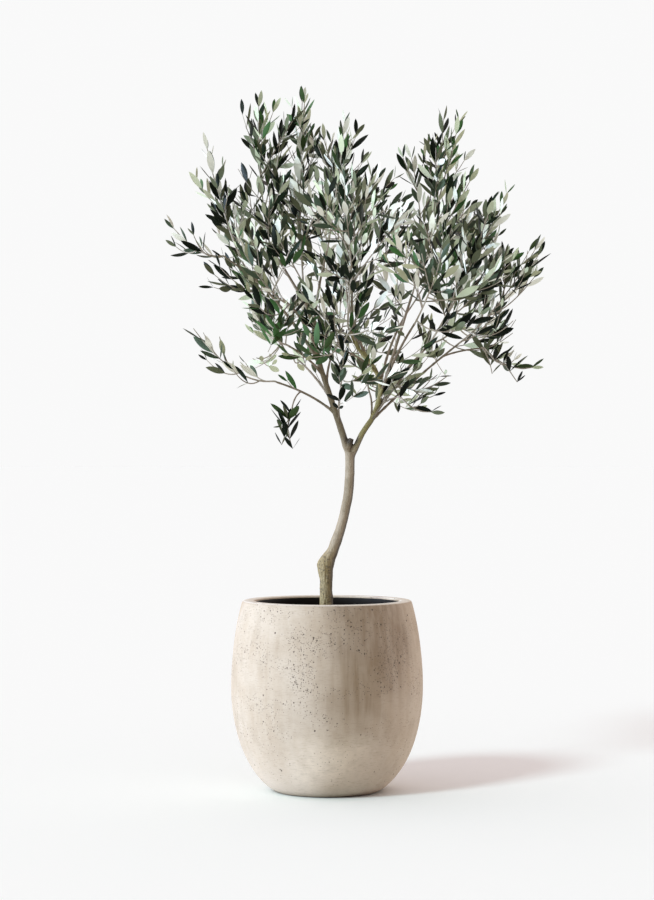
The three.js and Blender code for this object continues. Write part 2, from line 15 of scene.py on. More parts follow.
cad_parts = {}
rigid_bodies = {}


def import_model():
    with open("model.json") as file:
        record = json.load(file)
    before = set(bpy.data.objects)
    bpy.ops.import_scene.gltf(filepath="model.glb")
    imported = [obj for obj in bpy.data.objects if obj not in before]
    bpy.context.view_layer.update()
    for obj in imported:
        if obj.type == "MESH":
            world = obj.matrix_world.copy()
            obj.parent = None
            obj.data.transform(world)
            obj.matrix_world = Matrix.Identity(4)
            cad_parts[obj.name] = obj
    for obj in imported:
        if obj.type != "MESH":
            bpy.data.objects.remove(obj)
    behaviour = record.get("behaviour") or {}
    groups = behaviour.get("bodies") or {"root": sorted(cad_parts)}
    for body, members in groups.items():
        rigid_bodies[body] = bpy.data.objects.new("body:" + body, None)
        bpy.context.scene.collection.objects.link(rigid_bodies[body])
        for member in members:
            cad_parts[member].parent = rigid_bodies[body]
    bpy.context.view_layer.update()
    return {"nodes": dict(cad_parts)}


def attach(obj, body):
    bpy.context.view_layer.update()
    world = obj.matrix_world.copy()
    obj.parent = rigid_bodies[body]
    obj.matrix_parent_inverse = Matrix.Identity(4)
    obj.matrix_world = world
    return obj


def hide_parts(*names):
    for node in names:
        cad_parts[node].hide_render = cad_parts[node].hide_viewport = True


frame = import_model()

MM = 0.001

# Pot
POT_HEIGHT = 380
FOOT_RADIUS = 104
BELLY_RADIUS = 191.5
BELLY_HEIGHT = 210
RIM_RADIUS = 169
WALL = 26
FLOOR = 18
RIM_ROUNDING = 4.5
FOOT_ROUNDING = (6, 3.6)  # how far in and how far up the foot's edge is rounded
FOOT_HOLLOW = [(0, 3), (0.6, 3), (0.75, 0.8), (0.82, 0)]  # shares of the foot's radius, and heights there
FLOOR_CORNER = (6, 2)  # how far in and how far up the corner between floor and wall is filled
DARK_BELOW_RIM = 4  # how far down the dark inside begins
WALL_WOBBLE = 0.8  # how far the wall is out of round
WOBBLE_PACE = 0.012  # and how fast that changes, per millimetre
POT_SEGMENTS = 144
WALL_STEPS = 22  # rings between foot and belly, and between belly and rim
TANGENT_STEP = 0.001  # how far to either side of a point, as a share of a curve, its direction is taken
LEAST_RISE = 0.5  # a ring that rises less than this above the last one is left out

# The pot's outline bends towards these points between foot, belly and rim: radius and height
FOOT_PULL = (145, 22)
UNDER_BELLY_PULL = (193, 95)
OVER_BELLY_PULL = (191.5, 275)
RIM_PULL = (183, 330)

# Soil
SOIL_TOP = 335
SOIL_GAP = 0.4  # between soil and pot
SOIL_CORNER = (5, 1)  # how far in and how far up its lower edge is cut
SOIL_SIDE_DROP = 6  # how far its side ends below the top of the solid
SOIL_DIP = 2  # how far its middle lies below that top, and how much further it sinks to its edge
SOIL_EDGE_DROP = 3
SOIL_CRUST = 8  # depth of the layer that is made uneven
SOIL_CALM = 8  # width of the strip along the wall in which the lumps fade out
SOIL_RINGS = 26
SOIL_SEGMENTS = 96
MOUND = (2.5, 30)  # height and radius of the mound around the trunk
LUMPS = [(2.6, 0.03), (1.3, 0.11)]  # how high its lumps are, and how fast they change, per millimetre
CRUMB_SIZE = 1.6
CRUMB_SHAPES = ((0.5, 0.35, 0.3), (2.2, 1.1, 0.8))  # least and most of that along a crumb's axes
CRUMB_TURN = 6.3  # most radians that it is turned about each axis
CRUMB_DENSITY = 52000.0  # crumbs on a square metre
CRUMB_SEED = 7
LEVEL = 0.5  # crumbs lie only on faces whose normal points up by more than this

# Trunk: where its centre passes and its radius there, from soil level to the fork
TRUNK = [
    ((-2, 0, 335.3), 17),
    ((-1.5, 0, 372), 13.8),
    ((-1.5, 0, 414), 12.4),
    ((-2.5, 0, 447), 15.6),
    ((9, 0, 476), 13),
    ((26, 0, 519), 10.3),
    ((41, 4, 582), 9.9),
    ((45.5, 4, 632), 9.9),
    ((46, 2, 676), 10),
]

# Boughs: the share of the trunk at which each leaves, the bends it passes and its end radii
BOUGHS = {
    "left": (0.97, [(26, 0, 728), (4, 6, 794), (-19, 4, 868), (-27, 0, 928), (-44, 8, 986)], (7.6, 4)),
    "right": (
        0.95,
        [(70, 0, 712), (94, -4, 750), (107, -6, 798), (96, 0, 842), (62, 10, 884), (44, 16, 925)],
        (6.8, 3.6),
    ),
}

# Limbs: the limb each one leaves, the share of it at which it leaves, its end and its end radii
LIMBS = {
    "low_left": ("bough_left", 0.27, (-100, -20, 815), (2.6, 1.8)),
    "hanging": ("limb_low_left", 0.62, (-70, -25, 760), (1.7, 1.4)),
    "left": ("bough_left", 0.6, (-160, -40, 1040), (3.4, 2.2)),
    "far_left": ("limb_left", 0.8, (-200, -55, 1060), (2.2, 1.6)),
    "left_low": ("bough_left", 0.52, (-75, -60, 885), (2.6, 1.9)),
    "left_top": ("bough_left", 0.88, (-110, 10, 1080), (3.2, 2.2)),
    "centre": ("bough_left", 0.8, (0, -40, 1075), (3, 2)),
    "right_top": ("bough_right", 0.42, (170, 0, 990), (3.6, 2.3)),
    "right": ("bough_right", 0.34, (205, -30, 895), (3, 2)),
    "right_low": ("bough_right", 0.28, (260, 20, 890), (2.6, 1.8)),
    "far_right": ("limb_right_low", 0.85, (310, 30, 885), (1.9, 1.5)),
    "low_right": ("bough_right", 0.25, (135, -30, 805), (2.4, 1.7)),
    "low_tip": ("limb_low_right", 0.6, (140, -45, 785), (1.7, 1.4)),
    "back_left": ("bough_left", 0.7, (-90, 130, 990), (3, 2)),
    "back": ("bough_right", 0.75, (35, 120, 1040), (3, 2)),
    "back_right": ("bough_right", 0.55, (160, 130, 955), (3, 2)),
    "front_left": ("bough_left", 0.66, (-70, -130, 960), (3, 2)),
    "front": ("bough_right", 0.85, (50, -110, 1000), (3, 2)),
    "front_right": ("bough_right", 0.48, (170, -130, 925), (3, 2)),
    "inner_front": ("bough_right", 0.64, (35, -70, 875), (2.6, 1.8)),
    "inner_back": ("bough_left", 0.45, (15, 70, 885), (2.6, 1.8)),
    "low_front": ("bough_left", 0.2, (25, -50, 790), (2.2, 1.6)),
    "low_back": ("bough_right", 0.3, (85, 60, 800), (2.2, 1.6)),
    "right_back": ("bough_right", 0.38, (210, 110, 895), (2.6, 1.8)),
    "left_back": ("bough_left", 0.36, (-60, 90, 865), (2.6, 1.8)),
}

# Foliage: for each limb or bough, where the mass's stem ends, how many side branches leave the stem,
# how far they stand out from it, and the seed of the mass's own dice
FOLIAGE = {
    "low_left": ((-295, -70, 940), 4, 30, 11),
    "hanging": ((-90, -40, 690), 2, 20, 137),
    "left": ((-250, -20, 1315), 4, 40, 20),
    "far_left": ((-335, -70, 1135), 3, 30, 20),
    "left_low": ((-165, -120, 970), 4, 80, 48),
    "left_top": ((-140, 0, 1405), 5, 65, 40),
    "bough_left": ((-50, 0, 1415), 5, 70, 4),
    "centre": ((40, -20, 1370), 4, 60, 116),
    "bough_right": ((95, 40, 1270), 5, 90, 117),
    "right_top": ((275, 0, 1375), 6, 70, 104),
    "right": ((375, -20, 1225), 6, 55, 59),
    "right_low": ((440, 0, 1110), 6, 50, 27),
    "far_right": ((410, 10, 845), 4, 30, 55),
    "low_right": ((275, -70, 835), 4, 30, 20),
    "low_tip": ((205, -60, 755), 2, 20, 41),
    "back_left": ((-190, 230, 1195), 5, 95, 122),
    "back": ((-5, 230, 1330), 5, 100, 141),
    "back_right": ((305, 230, 1215), 5, 100, 54),
    "front_left": ((-180, -230, 1080), 4, 90, 123),
    "front": ((25, -240, 1245), 5, 100, 116),
    "front_right": ((250, -240, 1135), 5, 95, 141),
    "inner_front": ((5, -210, 1005), 4, 75, 28),
    "inner_back": ((50, 210, 1025), 4, 95, 45),
    "low_front": ((35, -160, 895), 3, 50, 41),
    "low_back": ((80, 170, 920), 3, 75, 51),
    "right_back": ((350, 190, 1025), 4, 90, 22),
    "left_back": ((-170, 200, 995), 4, 70, 51),
}

# How limbs and leading twigs bend, as shares of their length, and in how many steps
LIMB_LEAD = 0.45  # a limb is drawn this far along its first heading
KEPT_HEADING = 0.5  # weight of the parent's heading in a limb's first heading
PULL_SHARE = 0.35  # where along a twig's way its pull point lies
PULL_LEAD = 0.12  # and how far that is drawn along the twig's first heading
SAG = 0.45  # how far a level twig's pull point hangs
BEND_STEPS = 3
LIMB_STEPS = 6
LEADER_STEPS = 8

# Leading twigs: the stem of each mass, and side branches placed by shares of the stem's length
STEM_RADII = (2, 0.8)
BRANCH_RADII = (1.6, 0.8)
STRAIGHT_START = 6  # a stem runs straight on from its limb for this far
TIP_LEAF = 38  # a stem ends this far short of the mass's tip, and its last leaves reach on
FIRST_BRANCH = 0.03
BRANCH_ZONE = 0.55
BRANCH_JITTER = 0.6  # in steps between branches, and in radians around the stem
BRANCH_AHEAD = (0.25, 0.6)  # how much further up the stem a branch ends, least and most
SPREAD_RANGE = (0.7, 1.4)  # least and most of the mass's spread

# Shoots: the finest twigs, which leave the leading twigs and the limbs and turn up
SHOOT_LENGTH = 100
SHOOT_LENGTHS = (0.6, 1.3)  # least and most of that length
SHOOT_TAPER = 0.5  # how much of it is lost by shoots at the tip of their twig
SHOOT_OPENING = (32, 48)  # degrees between shoot and twig
SHOOT_LIFT = (0.45, 0.75)  # how strongly a shoot turns up
SHOOT_JITTER = 0.4  # in steps between shoots, and in radians around the twig
SHOOT_SPACING = 36
SHOOT_ZONE = (0.12, 0.8)
SLIM_SHOOT_SPACING = 90  # in the masses whose branches stand out less than SLIM_SPREAD
SLIM_SPREAD = 35
LIMB_SHOOT_SPACING = 60
LIMB_SHOOT_ZONE = (0.3, 0.98)
SHOOT_STEPS = 5
SHOOT_RADII = (1.1, 0.6)

# Leaves: crossed pairs along each twig
LEAF_LENGTH = 52
SHOOT_LEAF_LENGTH = 49
LENGTH_RANGE = (0.82, 1.18)
WIDTH_RANGE = (0.85, 1.15)
LEAF_SPACING = 26
LEADER_BARE = 0.38  # inner share of a leading twig that has no leaves
SHOOT_BARE = 0.18
LAST_PAIR = 0.995  # the share of a twig at which its last pair stands
SMALL_PAIRS = 2  # how many pairs at the root of a twig are smaller
SMALL_SIZE = 0.85
TAPER_FROM = 0.75  # the share of a twig from which its leaves get smaller
TIP_TAPER = 0.4  # and how much of their length they have lost at its tip
LEAF_OPENING = (40, 22)  # degrees between leaf and twig at the twig's root and at its tip
OPENING_RANGE = (0.8, 1.25)
PAIR_JITTER = 0.5  # radians by which a pair misses a right angle to the one below
LEAF_JITTER = 0.35
LEAF_LIFT = 0.22  # how far leaves turn up towards the light
OUTER_HALF = (0.6, 1)  # shares of a leaf's length at which its room is tested
LEAF_CLEARANCE = 1.5  # room kept there between leaf and limb
CROWN_DEPTH = (-325, 345)  # no leaf's tip reaches further to the front or the back

# Leaves where the twig hangs
HANG_DROP = 0.8  # a twig hangs if it drops by more than this share of its length
HANG_OPENING = (58, 44)
HANG_LIFT = 1.35  # how much further its leaves turn up
HANG_SPACING = 0.6  # how close they stand, as a share of the usual spacing
HANG_BARE = 1 / 3  # and what is left of its bare part

# What the numbers of mass, leading twig and shoot weigh in the seed of their dice, and in a spray's number
LEADER_SEEDS = (100, 1)
SHOOT_SEEDS = (3000, 50, 1)
SPRAY_SEEDS = (997, 31, 1)

# Camera: level and straight in front, as far off as the plant in its frame asks
CAMERA_DISTANCE = 4700
CAMERA_HEIGHT = 680
LENS = 94
CLIP_END = 300  # metres

# Gaps where the sky shows through the crown, seen by the camera at the trunk's distance: how far each lies
# to the right, how high, and its half width and half height
SKY_GAPS = [
    (-192, 1310, 18, 90),
    (-82, 1026, 24, 36),
    (-224, 950, 58, 36),
    (-150, 888, 36, 24),
    (-54, 804, 36, 16),
    (36, 964, 16, 12),
    (166, 952, 26, 20),
    (166, 896, 24, 16),
    (250, 856, 40, 16),
    (302, 836, 28, 28),
    (310, 1208, 16, 28),
    (390, 1112, 30, 26),
    (418, 956, 40, 56),
    (215, 700, 90, 34),
]

UP = np.array([0.0, 0.0, 1.0])
UPRIGHT = 0.05  # a heading whose level part is smaller counts as upright
GOLDEN_ANGLE = math.radians(137.5)


# Numbers

def within(limits, share):
    """The value at a share of the way from one limit to the other."""
    start, end = limits
    return start + (end - start) * share


def smoothstep(low, high, value):
    """0 under low, 1 over high, and a smooth rise from one to the other."""
    share = np.clip((value - low) / (high - low), 0, 1)
    return share * share * (3 - 2 * share)


# Nodes

class Signal:
    """What comes out of a node. Sums on signals add Math nodes to the tree."""

    def __init__(self, tree, socket):
        self.tree = tree
        self.socket = socket

    def maths(self, operation, *values):
        return self.tree.add("ShaderNodeMath", dict(enumerate(values)), operation=operation)

    def __add__(self, other):
        return self.maths("ADD", self, other)

    __radd__ = __add__

    def __sub__(self, other):
        return self.maths("SUBTRACT", self, other)

    def __rsub__(self, other):
        return self.maths("SUBTRACT", other, self)

    def __mul__(self, other):
        return self.maths("MULTIPLY", self, other)

    __rmul__ = __mul__

    def __lt__(self, other):
        return self.maths("LESS_THAN", self, other)

    def __gt__(self, other):
        return self.maths("GREATER_THAN", self, other)

    def or_more(self, other):
        """The greater of two signals."""
        return self.maths("MAXIMUM", self, other)

    def between(self, low, high):
        """0 where the signal is under low, 1 where it is over high, and a smooth rise in between."""
        sockets = {"Value": self, "From Min": low, "From Max": high}
        return self.tree.add("ShaderNodeMapRange", sockets, interpolation_type="SMOOTHSTEP")


class Nodes:
    """A tree to which nodes are added by one call each."""

    def __init__(self, tree):
        self.tree = tree

    def add(self, kind, sockets=None, output=0, **settings):
        """A new node with its settings and what its sockets are given, as the signal of one output."""
        node = self.tree.nodes.new(kind)
        for name, value in settings.items():
            setattr(node, name, value)
        for name, value in (sockets or {}).items():
            self.feed(node.inputs[name], value)
        return Signal(self, node.outputs[output])

    def feed(self, socket, value):
        if isinstance(value, Signal):
            self.tree.links.new(value.socket, socket)
        elif socket.type == "RGBA":
            socket.default_value = (*value, 1)
        else:
            socket.default_value = value

    def mixed(self, first, second, share):
        """A colour that goes from first to second as share goes from 0 to 1."""
        return self.add("ShaderNodeMix", {0: share, 6: first, 7: second}, 2, data_type="RGBA")

    def layered(self, color, *layers):
        """A colour under layers of others, each laid on in its share."""
        for tone, share in layers:
            color = self.mixed(color, tone, share)
        return color


PIT_CORE = 0.7  # share of a pit's radius at which its edge begins

# The shader's socket for each look of a surface
SURFACE_SOCKETS = {
    "color": "Base Color",
    "roughness": "Roughness",
    "gloss": "Specular IOR Level",
    "normal": "Normal",
}


class Finish(Nodes):
    """A material on a Principled shader, patterned by the piece's own place."""

    def __init__(self, name, **looks):
        self.material = bpy.data.materials.new(name)
        self.material.use_nodes = True
        super().__init__(self.material.node_tree)
        self.wear(**looks)

    def wear(self, **looks):
        """Sets looks of the surface, each a number, a colour or a signal."""
        surface = self.tree.nodes["Principled BSDF"]
        for look, value in looks.items():
            self.feed(surface.inputs[SURFACE_SOCKETS[look]], value)

    def spot(self, scale=(1, 1, 1)):
        """Where on the piece a point lies, in millimetres, stretched along each axis by scale."""
        place = self.add("ShaderNodeTexCoord", output="Object")
        per_axis = [share / MM for share in scale]
        return self.add("ShaderNodeMapping", {"Vector": place, "Scale": per_axis})

    def along(self, axis):
        """How far along an axis a point lies, in millimetres."""
        return self.add("ShaderNodeSeparateXYZ", {"Vector": self.spot()}, axis)

    def distance(self, middle, scale=(1, 1, 1)):
        """How far a point lies from a middle, in millimetres, each axis weighed by scale."""
        centre = [value * share for value, share in zip(middle, scale)]
        sockets = {0: self.spot(scale), 1: centre}
        return self.add("ShaderNodeVectorMath", sockets, "Value", operation="DISTANCE")

    def stored(self, name):
        """A value stored on the piece's own points."""
        return self.add("ShaderNodeAttribute", output="Fac", attribute_name=name)

    def clouds(self, size, detail=3, roughness=0.55, scale=(1, 1, 1)):
        """Soft noise whose patches are about size millimetres across."""
        sockets = {"Vector": self.spot(scale), "Scale": 1 / size, "Detail": detail, "Roughness": roughness}
        return self.add("ShaderNodeTexNoise", sockets, "Fac")

    def pits(self, spacing, radius, share):
        """1 inside round pits of a radius, in a share of the cells that lie spacing apart."""
        sockets = {"Vector": self.spot(), "Scale": 1 / spacing}
        nearest = self.add("ShaderNodeTexVoronoi", sockets, "Distance")
        random = self.add("ShaderNodeTexVoronoi", sockets, "Color")
        pick = self.add("ShaderNodeSeparateColor", {"Color": random}, "Red")
        reach = radius / spacing
        return (1 - nearest.between(reach * PIT_CORE, reach)) * (pick < share)

    def relief(self, height, depth):
        """A bump whose height signal of 1 stands depth millimetres proud."""
        sockets = {"Height": height, "Distance": depth * MM, "Strength": 1}
        self.wear(normal=self.add("ShaderNodeBump", sockets))


class Recipe(Nodes):
    """A tree of geometry nodes with named inputs, run on one mesh."""

    def __init__(self, name, **inputs):
        super().__init__(bpy.data.node_groups.new(name, "GeometryNodeTree"))
        sockets = self.tree.interface
        sockets.new_socket("Geometry", in_out="INPUT", socket_type="NodeSocketGeometry")
        for label, kind in inputs.items():
            sockets.new_socket(label, in_out="INPUT", socket_type=f"NodeSocket{kind}")
        sockets.new_socket("Geometry", in_out="OUTPUT", socket_type="NodeSocketGeometry")
        self.source = self.tree.nodes.new("NodeGroupInput")

    def given(self, label):
        return Signal(self, self.source.outputs[label])

    def attribute(self, name, kind):
        return self.add("GeometryNodeInputNamedAttribute", {"Name": name}, data_type=kind)

    def finish(self, geometry, bare=True):
        """Ends the tree: instances made real, and bare ones dressed in the given finish."""
        result = self.add("GeometryNodeRealizeInstances", {"Geometry": geometry})
        if bare:
            sockets = {"Geometry": result, "Material": self.given("Finish")}
            result = self.add("GeometryNodeSetMaterial", sockets)
        self.feed(self.tree.nodes.new("NodeGroupOutput").inputs[0], result)
        return self.tree


def scene_object(name, data):
    """A new object in the scene."""
    thing = bpy.data.objects.new(name, data)
    bpy.context.scene.collection.objects.link(thing)
    return thing


def made_by(recipe, name, mesh, **inputs):
    """An object with the plain mesh that a recipe makes from a mesh."""
    piece = scene_object(name, mesh)
    modifier = piece.modifiers.new(name, "NODES")
    modifier.node_group = recipe
    for item in recipe.interface.items_tree:
        if item.in_out == "INPUT" and item.name in inputs:
            modifier[item.identifier] = inputs[item.name]
    return applied(piece)


def applied(piece):
    """The piece with its modifiers turned into plain mesh."""
    graph = bpy.context.evaluated_depsgraph_get()
    mesh = bpy.data.meshes.new_from_object(piece.evaluated_get(graph), depsgraph=graph)
    piece.modifiers.clear()
    piece.data = mesh
    mesh.name = piece.name
    return piece


# Finishes

# Stains and painted light and shade on the pot's wall: the middle of each, how much distance counts along
# each axis, the radii of its core and its edge, its colour and its strength. The first two are brown damp
# stains that also carry painted shade on the darker right of the front; the third is a painted pool of
# light low on the front, where the floor's bounce falls; the fourth is painted shade at the foot on the
# right; the last two are stains on the back.
STAINS_AND_PAINTED_SHADING = [
    ((100, -155, 332), (0.9, 0.9, 0.6), (32, 126), (0.2, 0.132, 0.08), 1),
    ((58, -180, 208), (0.9, 1, 0.85), (20, 82), (0.23, 0.155, 0.09), 0.9),
    ((15, -180, 65), (0.8, 1, 1.2), (25, 105), (0.76, 0.64, 0.51), 0.8),
    ((116, -90, 26), (0.9, 1, 1), (20, 78), (0.22, 0.152, 0.098), 1),
    ((-120, 140, 300), (1, 1, 0.7), (20, 110), (0.28, 0.21, 0.14), 0.7),
    ((150, 110, 150), (1, 1, 0.7), (20, 100), (0.28, 0.21, 0.14), 0.6),
]
PATCH_SWAY = 110  # how far the clouds can shift the outline of a stain or of a painted patch of light or shade

# Drifts of pits: the middle of each, how much distance counts along each axis and the radius of its edge
PIT_DRIFTS = [
    ((-23, -184, 311), (0.75, 1, 1.5), 68),
    ((125, -140, 262), (1, 1, 1.2), 68),
    ((-52, -180, 252), (1, 1, 1), 50),
    ((60, 175, 290), (0.8, 1, 1.4), 60),
    ((-150, 105, 250), (1, 1, 1.2), 55),
]
DRIFT_CORE = 0.1  # share of a drift's radius within which it is densest
DRIFT_SWAY = 60  # how far the blotches can shift a drift's outline

WAX_CHANGE = 0.3  # how much the roughness of a leaf's wax changes over it


def wall_pits(finish, blotch):
    """Fine and coarse pits in drifts, denser from the belly up, and a few large ones everywhere."""
    drift = finish.clouds(60, 3, 0.6, (0.7, 0.7, 1.2)).between(0.45, 0.58) * 0.38
    for middle, scale, edge in PIT_DRIFTS:
        reach = finish.distance(middle, scale) + (blotch - 0.5) * DRIFT_SWAY
        drift = drift.or_more(1 - reach.between(edge * DRIFT_CORE, edge))
    drift = drift * (finish.along("Z").between(60, 200) * 0.85 + 0.15)
    fine = finish.pits(3, 0.95, drift)
    coarse = finish.pits(6.5, 1.5, drift * 0.6)
    rare = finish.pits(26, 2, 0.6)
    return (fine * 0.75).or_more(coarse).or_more(rare)


def pale_concrete():
    """Fine pinkish-beige concrete: damp stains, clouds, weave and pits, with painted light and shade."""
    finish = Finish("pale_concrete", gloss=0.3)
    height = finish.along("Z")
    cloud = finish.clouds(80, 4)
    blotch = finish.clouds(34, 3, 0.6)
    streak = finish.clouds(14, 3, 0.6, (1, 1, 0.08)).between(0.35, 0.7)
    weave = finish.clouds(3.5, 2, 0.6, (0.3, 0.3, 2))
    grain = finish.clouds(1.4, 2)
    pits = wall_pits(finish, blotch)
    stains_and_shading = []
    # stains, and patches of painted light and shade, laid on the wall
    for middle, scale, (core, edge), tone, share in STAINS_AND_PAINTED_SHADING:
        reach = finish.distance(middle, scale) + (cloud - 0.5) * PATCH_SWAY
        stains_and_shading.append((tone, (1 - reach.between(core, edge)) * (blotch * 0.5 + 0.6) * share))
    color = finish.layered(
        (0.475, 0.385, 0.3),
        ((0.41, 0.317, 0.232), cloud.between(0.3, 0.7)),
        *stains_and_shading,
        ((0.35, 0.27, 0.195), blotch.between(0.45, 0.7) * 0.4),
        # painted light: the wall grows paler towards the foot, where the floor's bounce lights it
        ((0.62, 0.51, 0.41), (1 - height.between(20, 140)) * 0.45),
        ((0.52, 0.43, 0.345), streak * 0.3),
        ((0.27, 0.2, 0.14), weave.between(0.5, 0.75) * 0.35),
        # painted shade: a dark brown band at the very foot, where the pot meets the floor
        ((0.2, 0.13, 0.07), (1 - height.between(2, 12)) * 0.35),
        # a paler worn rim, and a painted highlight where its top faces the light from above
        ((0.68, 0.62, 0.55), height.between(POT_HEIGHT - 2, POT_HEIGHT - 0.5) * 0.9),
        ((0.06, 0.042, 0.03), pits * 0.9),
        ((0.25, 0.195, 0.15), grain.between(0.55, 0.8) * 0.25),
    )
    finish.wear(color=color, roughness=grain * 0.2 + 0.7)
    finish.relief(grain * 0.12 + weave * 0.1 + cloud * 0.2 - pits, 0.9)
    return finish.material


def sealed_inside():
    """The dark inside of the pot."""
    finish = Finish("sealed_inside", roughness=0.7, gloss=0.2)
    film = finish.clouds(14, 3)
    finish.wear(color=finish.mixed((0.006, 0.0045, 0.0035), (0.016, 0.011, 0.008), film))
    finish.relief(film, 0.4)
    return finish.material


def potting_soil():
    """Dark crumbs of bark and peat."""
    finish = Finish("potting_soil")
    fibre = finish.clouds(4, 4, 0.7)
    patch = finish.clouds(26, 2)
    color = finish.layered(
        (0.012, 0.009, 0.007),
        ((0.07, 0.047, 0.03), fibre.between(0.35, 0.75)),
        ((0.025, 0.017, 0.012), patch),
    )
    finish.wear(color=color, roughness=fibre * 0.2 + 0.78)
    finish.relief(fibre, 1.4)
    return finish.material


def olive_bark():
    """Beige bark: golden green and rough low down, brown and mossy on the boughs, with painted shade."""
    finish = Finish("olive_bark")
    height = finish.along("Z")
    grain = finish.clouds(3.2, 4, 0.65, (1, 1, 0.22))
    patch = finish.clouds(24, 3, 0.6, (1, 1, 0.5)).between(0.35, 0.7)
    crack = finish.clouds(5, 3, 0.7, (0.7, 0.7, 1.3)).between(0.54, 0.66)
    speck = finish.pits(6.5, 0.9, 0.5)
    low = 1 - height.between(450, 500)
    high = height.between(672, 716)
    right = finish.along("X").between(44, 56)
    color = finish.layered(
        (0.31, 0.238, 0.163),
        ((0.21, 0.155, 0.095), patch),
        ((0.28, 0.205, 0.088), low * (patch * 0.2 + 0.75)),
        (finish.mixed((0.12, 0.09, 0.045), (0.215, 0.185, 0.06), right), high * 0.9),
        ((0.09, 0.07, 0.04), grain.between(0.5, 0.75) * (low * 0.45 + 0.3)),
        ((0.06, 0.045, 0.03), crack * (low * 0.6 + 0.12)),
        ((0.06, 0.045, 0.03), speck * 0.6),
        # painted shade: the bark is darkened on the side that faces away from the light
        ((0.045, 0.033, 0.022), finish.stored("shaded") * 0.82),
        # painted shade: the stub at the fork and the bark around its end darkened, as if in shadow
        ((0.036, 0.024, 0.014), 1 - finish.distance(STUB_END).between(9, 20)),
    )
    finish.wear(color=color, roughness=grain * 0.25 + 0.6)
    finish.relief(grain - crack * low * 0.6 - speck * 0.3, 0.9)
    return finish.material


def smooth_bark(name, pale, brown):
    """Smooth young bark, pale and brown in patches, with a fine dark grain."""
    finish = Finish(name, roughness=0.7)
    patch = finish.clouds(35, 3).between(0.35, 0.7)
    grain = finish.clouds(2.4, 2)
    layers = [(brown, patch), ((0.1, 0.075, 0.055), grain.between(0.52, 0.75) * 0.5)]
    finish.wear(color=finish.layered(pale, *layers))
    finish.relief(grain, 0.3)
    return finish.material


def leaf_face(name, color, roughness, gloss):
    """One face of the leaves in one plain colour, with a dull uneven wax."""
    finish = Finish(name, color=color, gloss=gloss)
    wax = finish.clouds(6, 2)
    finish.wear(roughness=wax * WAX_CHANGE + (roughness - WAX_CHANGE / 2))
    finish.relief(wax, 0.25)
    return finish.material


# Growth: the same dice and the same rule as the tree's solids

def dice(*seeds):
    """Numbers from 0 to 1 that are the same for the same seeds."""
    mask = 0xFFFFFFFF
    state = 0
    for seed in seeds:
        state = (state * 31 + seed * 7919 + 17) & mask

    def roll():
        nonlocal state
        state = (state + 0x6D2B79F5) & mask
        mix = ((state ^ (state >> 15)) * (state | 1)) & mask
        mix ^= (mix + (((mix ^ (mix >> 7)) * (mix | 61)) & mask)) & mask
        return ((mix ^ (mix >> 14)) & mask) / 4294967296

    roll()
    roll()
    roll()
    return roll


def seed_of(weights, *numbers):
    """A seed from several numbers, each times its weight."""
    return sum(weight * number for weight, number in zip(weights, numbers))


def unit(vector):
    return vector / np.linalg.norm(vector)


def outward(heading, turn):
    """The direction square to a heading that lies at a turn around it."""
    side = np.cross(heading, UP)
    side = unit(side) if np.linalg.norm(side) >= UPRIGHT else np.array([1.0, 0.0, 0.0])
    top = unit(np.cross(side, heading))
    return side * math.cos(turn) + top * math.sin(turn)


def tipped(heading, turn, angle):
    """A heading tipped over by an angle, towards a turn around it."""
    return unit(heading * math.cos(angle) + outward(heading, turn) * math.sin(angle))


class Path:
    """The centre line of a limb or twig, with its radius at each point."""

    def __init__(self, points, radii):
        self.points = [np.array(point, dtype=float) for point in points]
        steps = [np.linalg.norm(b - a) for a, b in zip(self.points, self.points[1:])]
        self.runs = np.concatenate([[0.0], np.cumsum(steps)])
        self.length = float(self.runs[-1])
        tapers = len(radii) == 2
        self.radii = within(radii, self.runs / self.length) if tapers else np.array(radii, dtype=float)

    def at(self, share):
        """The point and the heading at a share of the length."""
        run = min(max(share, 0), 1) * self.length
        i = 0
        while i < len(self.points) - 2 and self.runs[i + 1] < run:
            i += 1
        a, b = self.points[i], self.points[i + 1]
        t = (run - self.runs[i]) / (self.runs[i + 1] - self.runs[i])
        return a + (b - a) * t, unit(b - a)

    def radius_at(self, share):
        return np.interp(share * self.length, self.runs, self.radii)


def through_points(points, steps):
    """A smooth curve through points, with the same number of steps on each stretch between two of them."""
    points = [np.array(point, dtype=float) for point in points]
    ends = [points[0] * 2 - points[1], *points, points[-1] * 2 - points[-2]]
    curve = [points[0]]
    for a, b, c, d in zip(ends, ends[1:], ends[2:], ends[3:]):
        for step in range(1, steps + 1):
            t = step / steps
            square = 2 * a - 5 * b + 4 * c - d
            cube = 3 * b - a - 3 * c + d
            curve.append((2 * b + (c - a) * t + square * t**2 + cube * t**3) / 2)
    return curve


def bent_once(start, pull, end, steps):
    """A curve that bends once, from start to end past a pull point."""
    shares = [step / steps for step in range(steps + 1)]
    return [start * (1 - t) ** 2 + pull * (2 * t * (1 - t)) + end * t**2 for t in shares]


def leader_points(root, heading, end):
    """The way of a leading twig: the flatter it runs, the more it hangs before it turns up."""
    way = end - root
    size = np.linalg.norm(way)
    level = math.hypot(way[0], way[1])
    sag = SAG * level * (level / size) ** 2
    pull = root + way * PULL_SHARE + heading * (size * PULL_LEAD) - UP * sag
    return bent_once(root, pull, end, LEADER_STEPS)


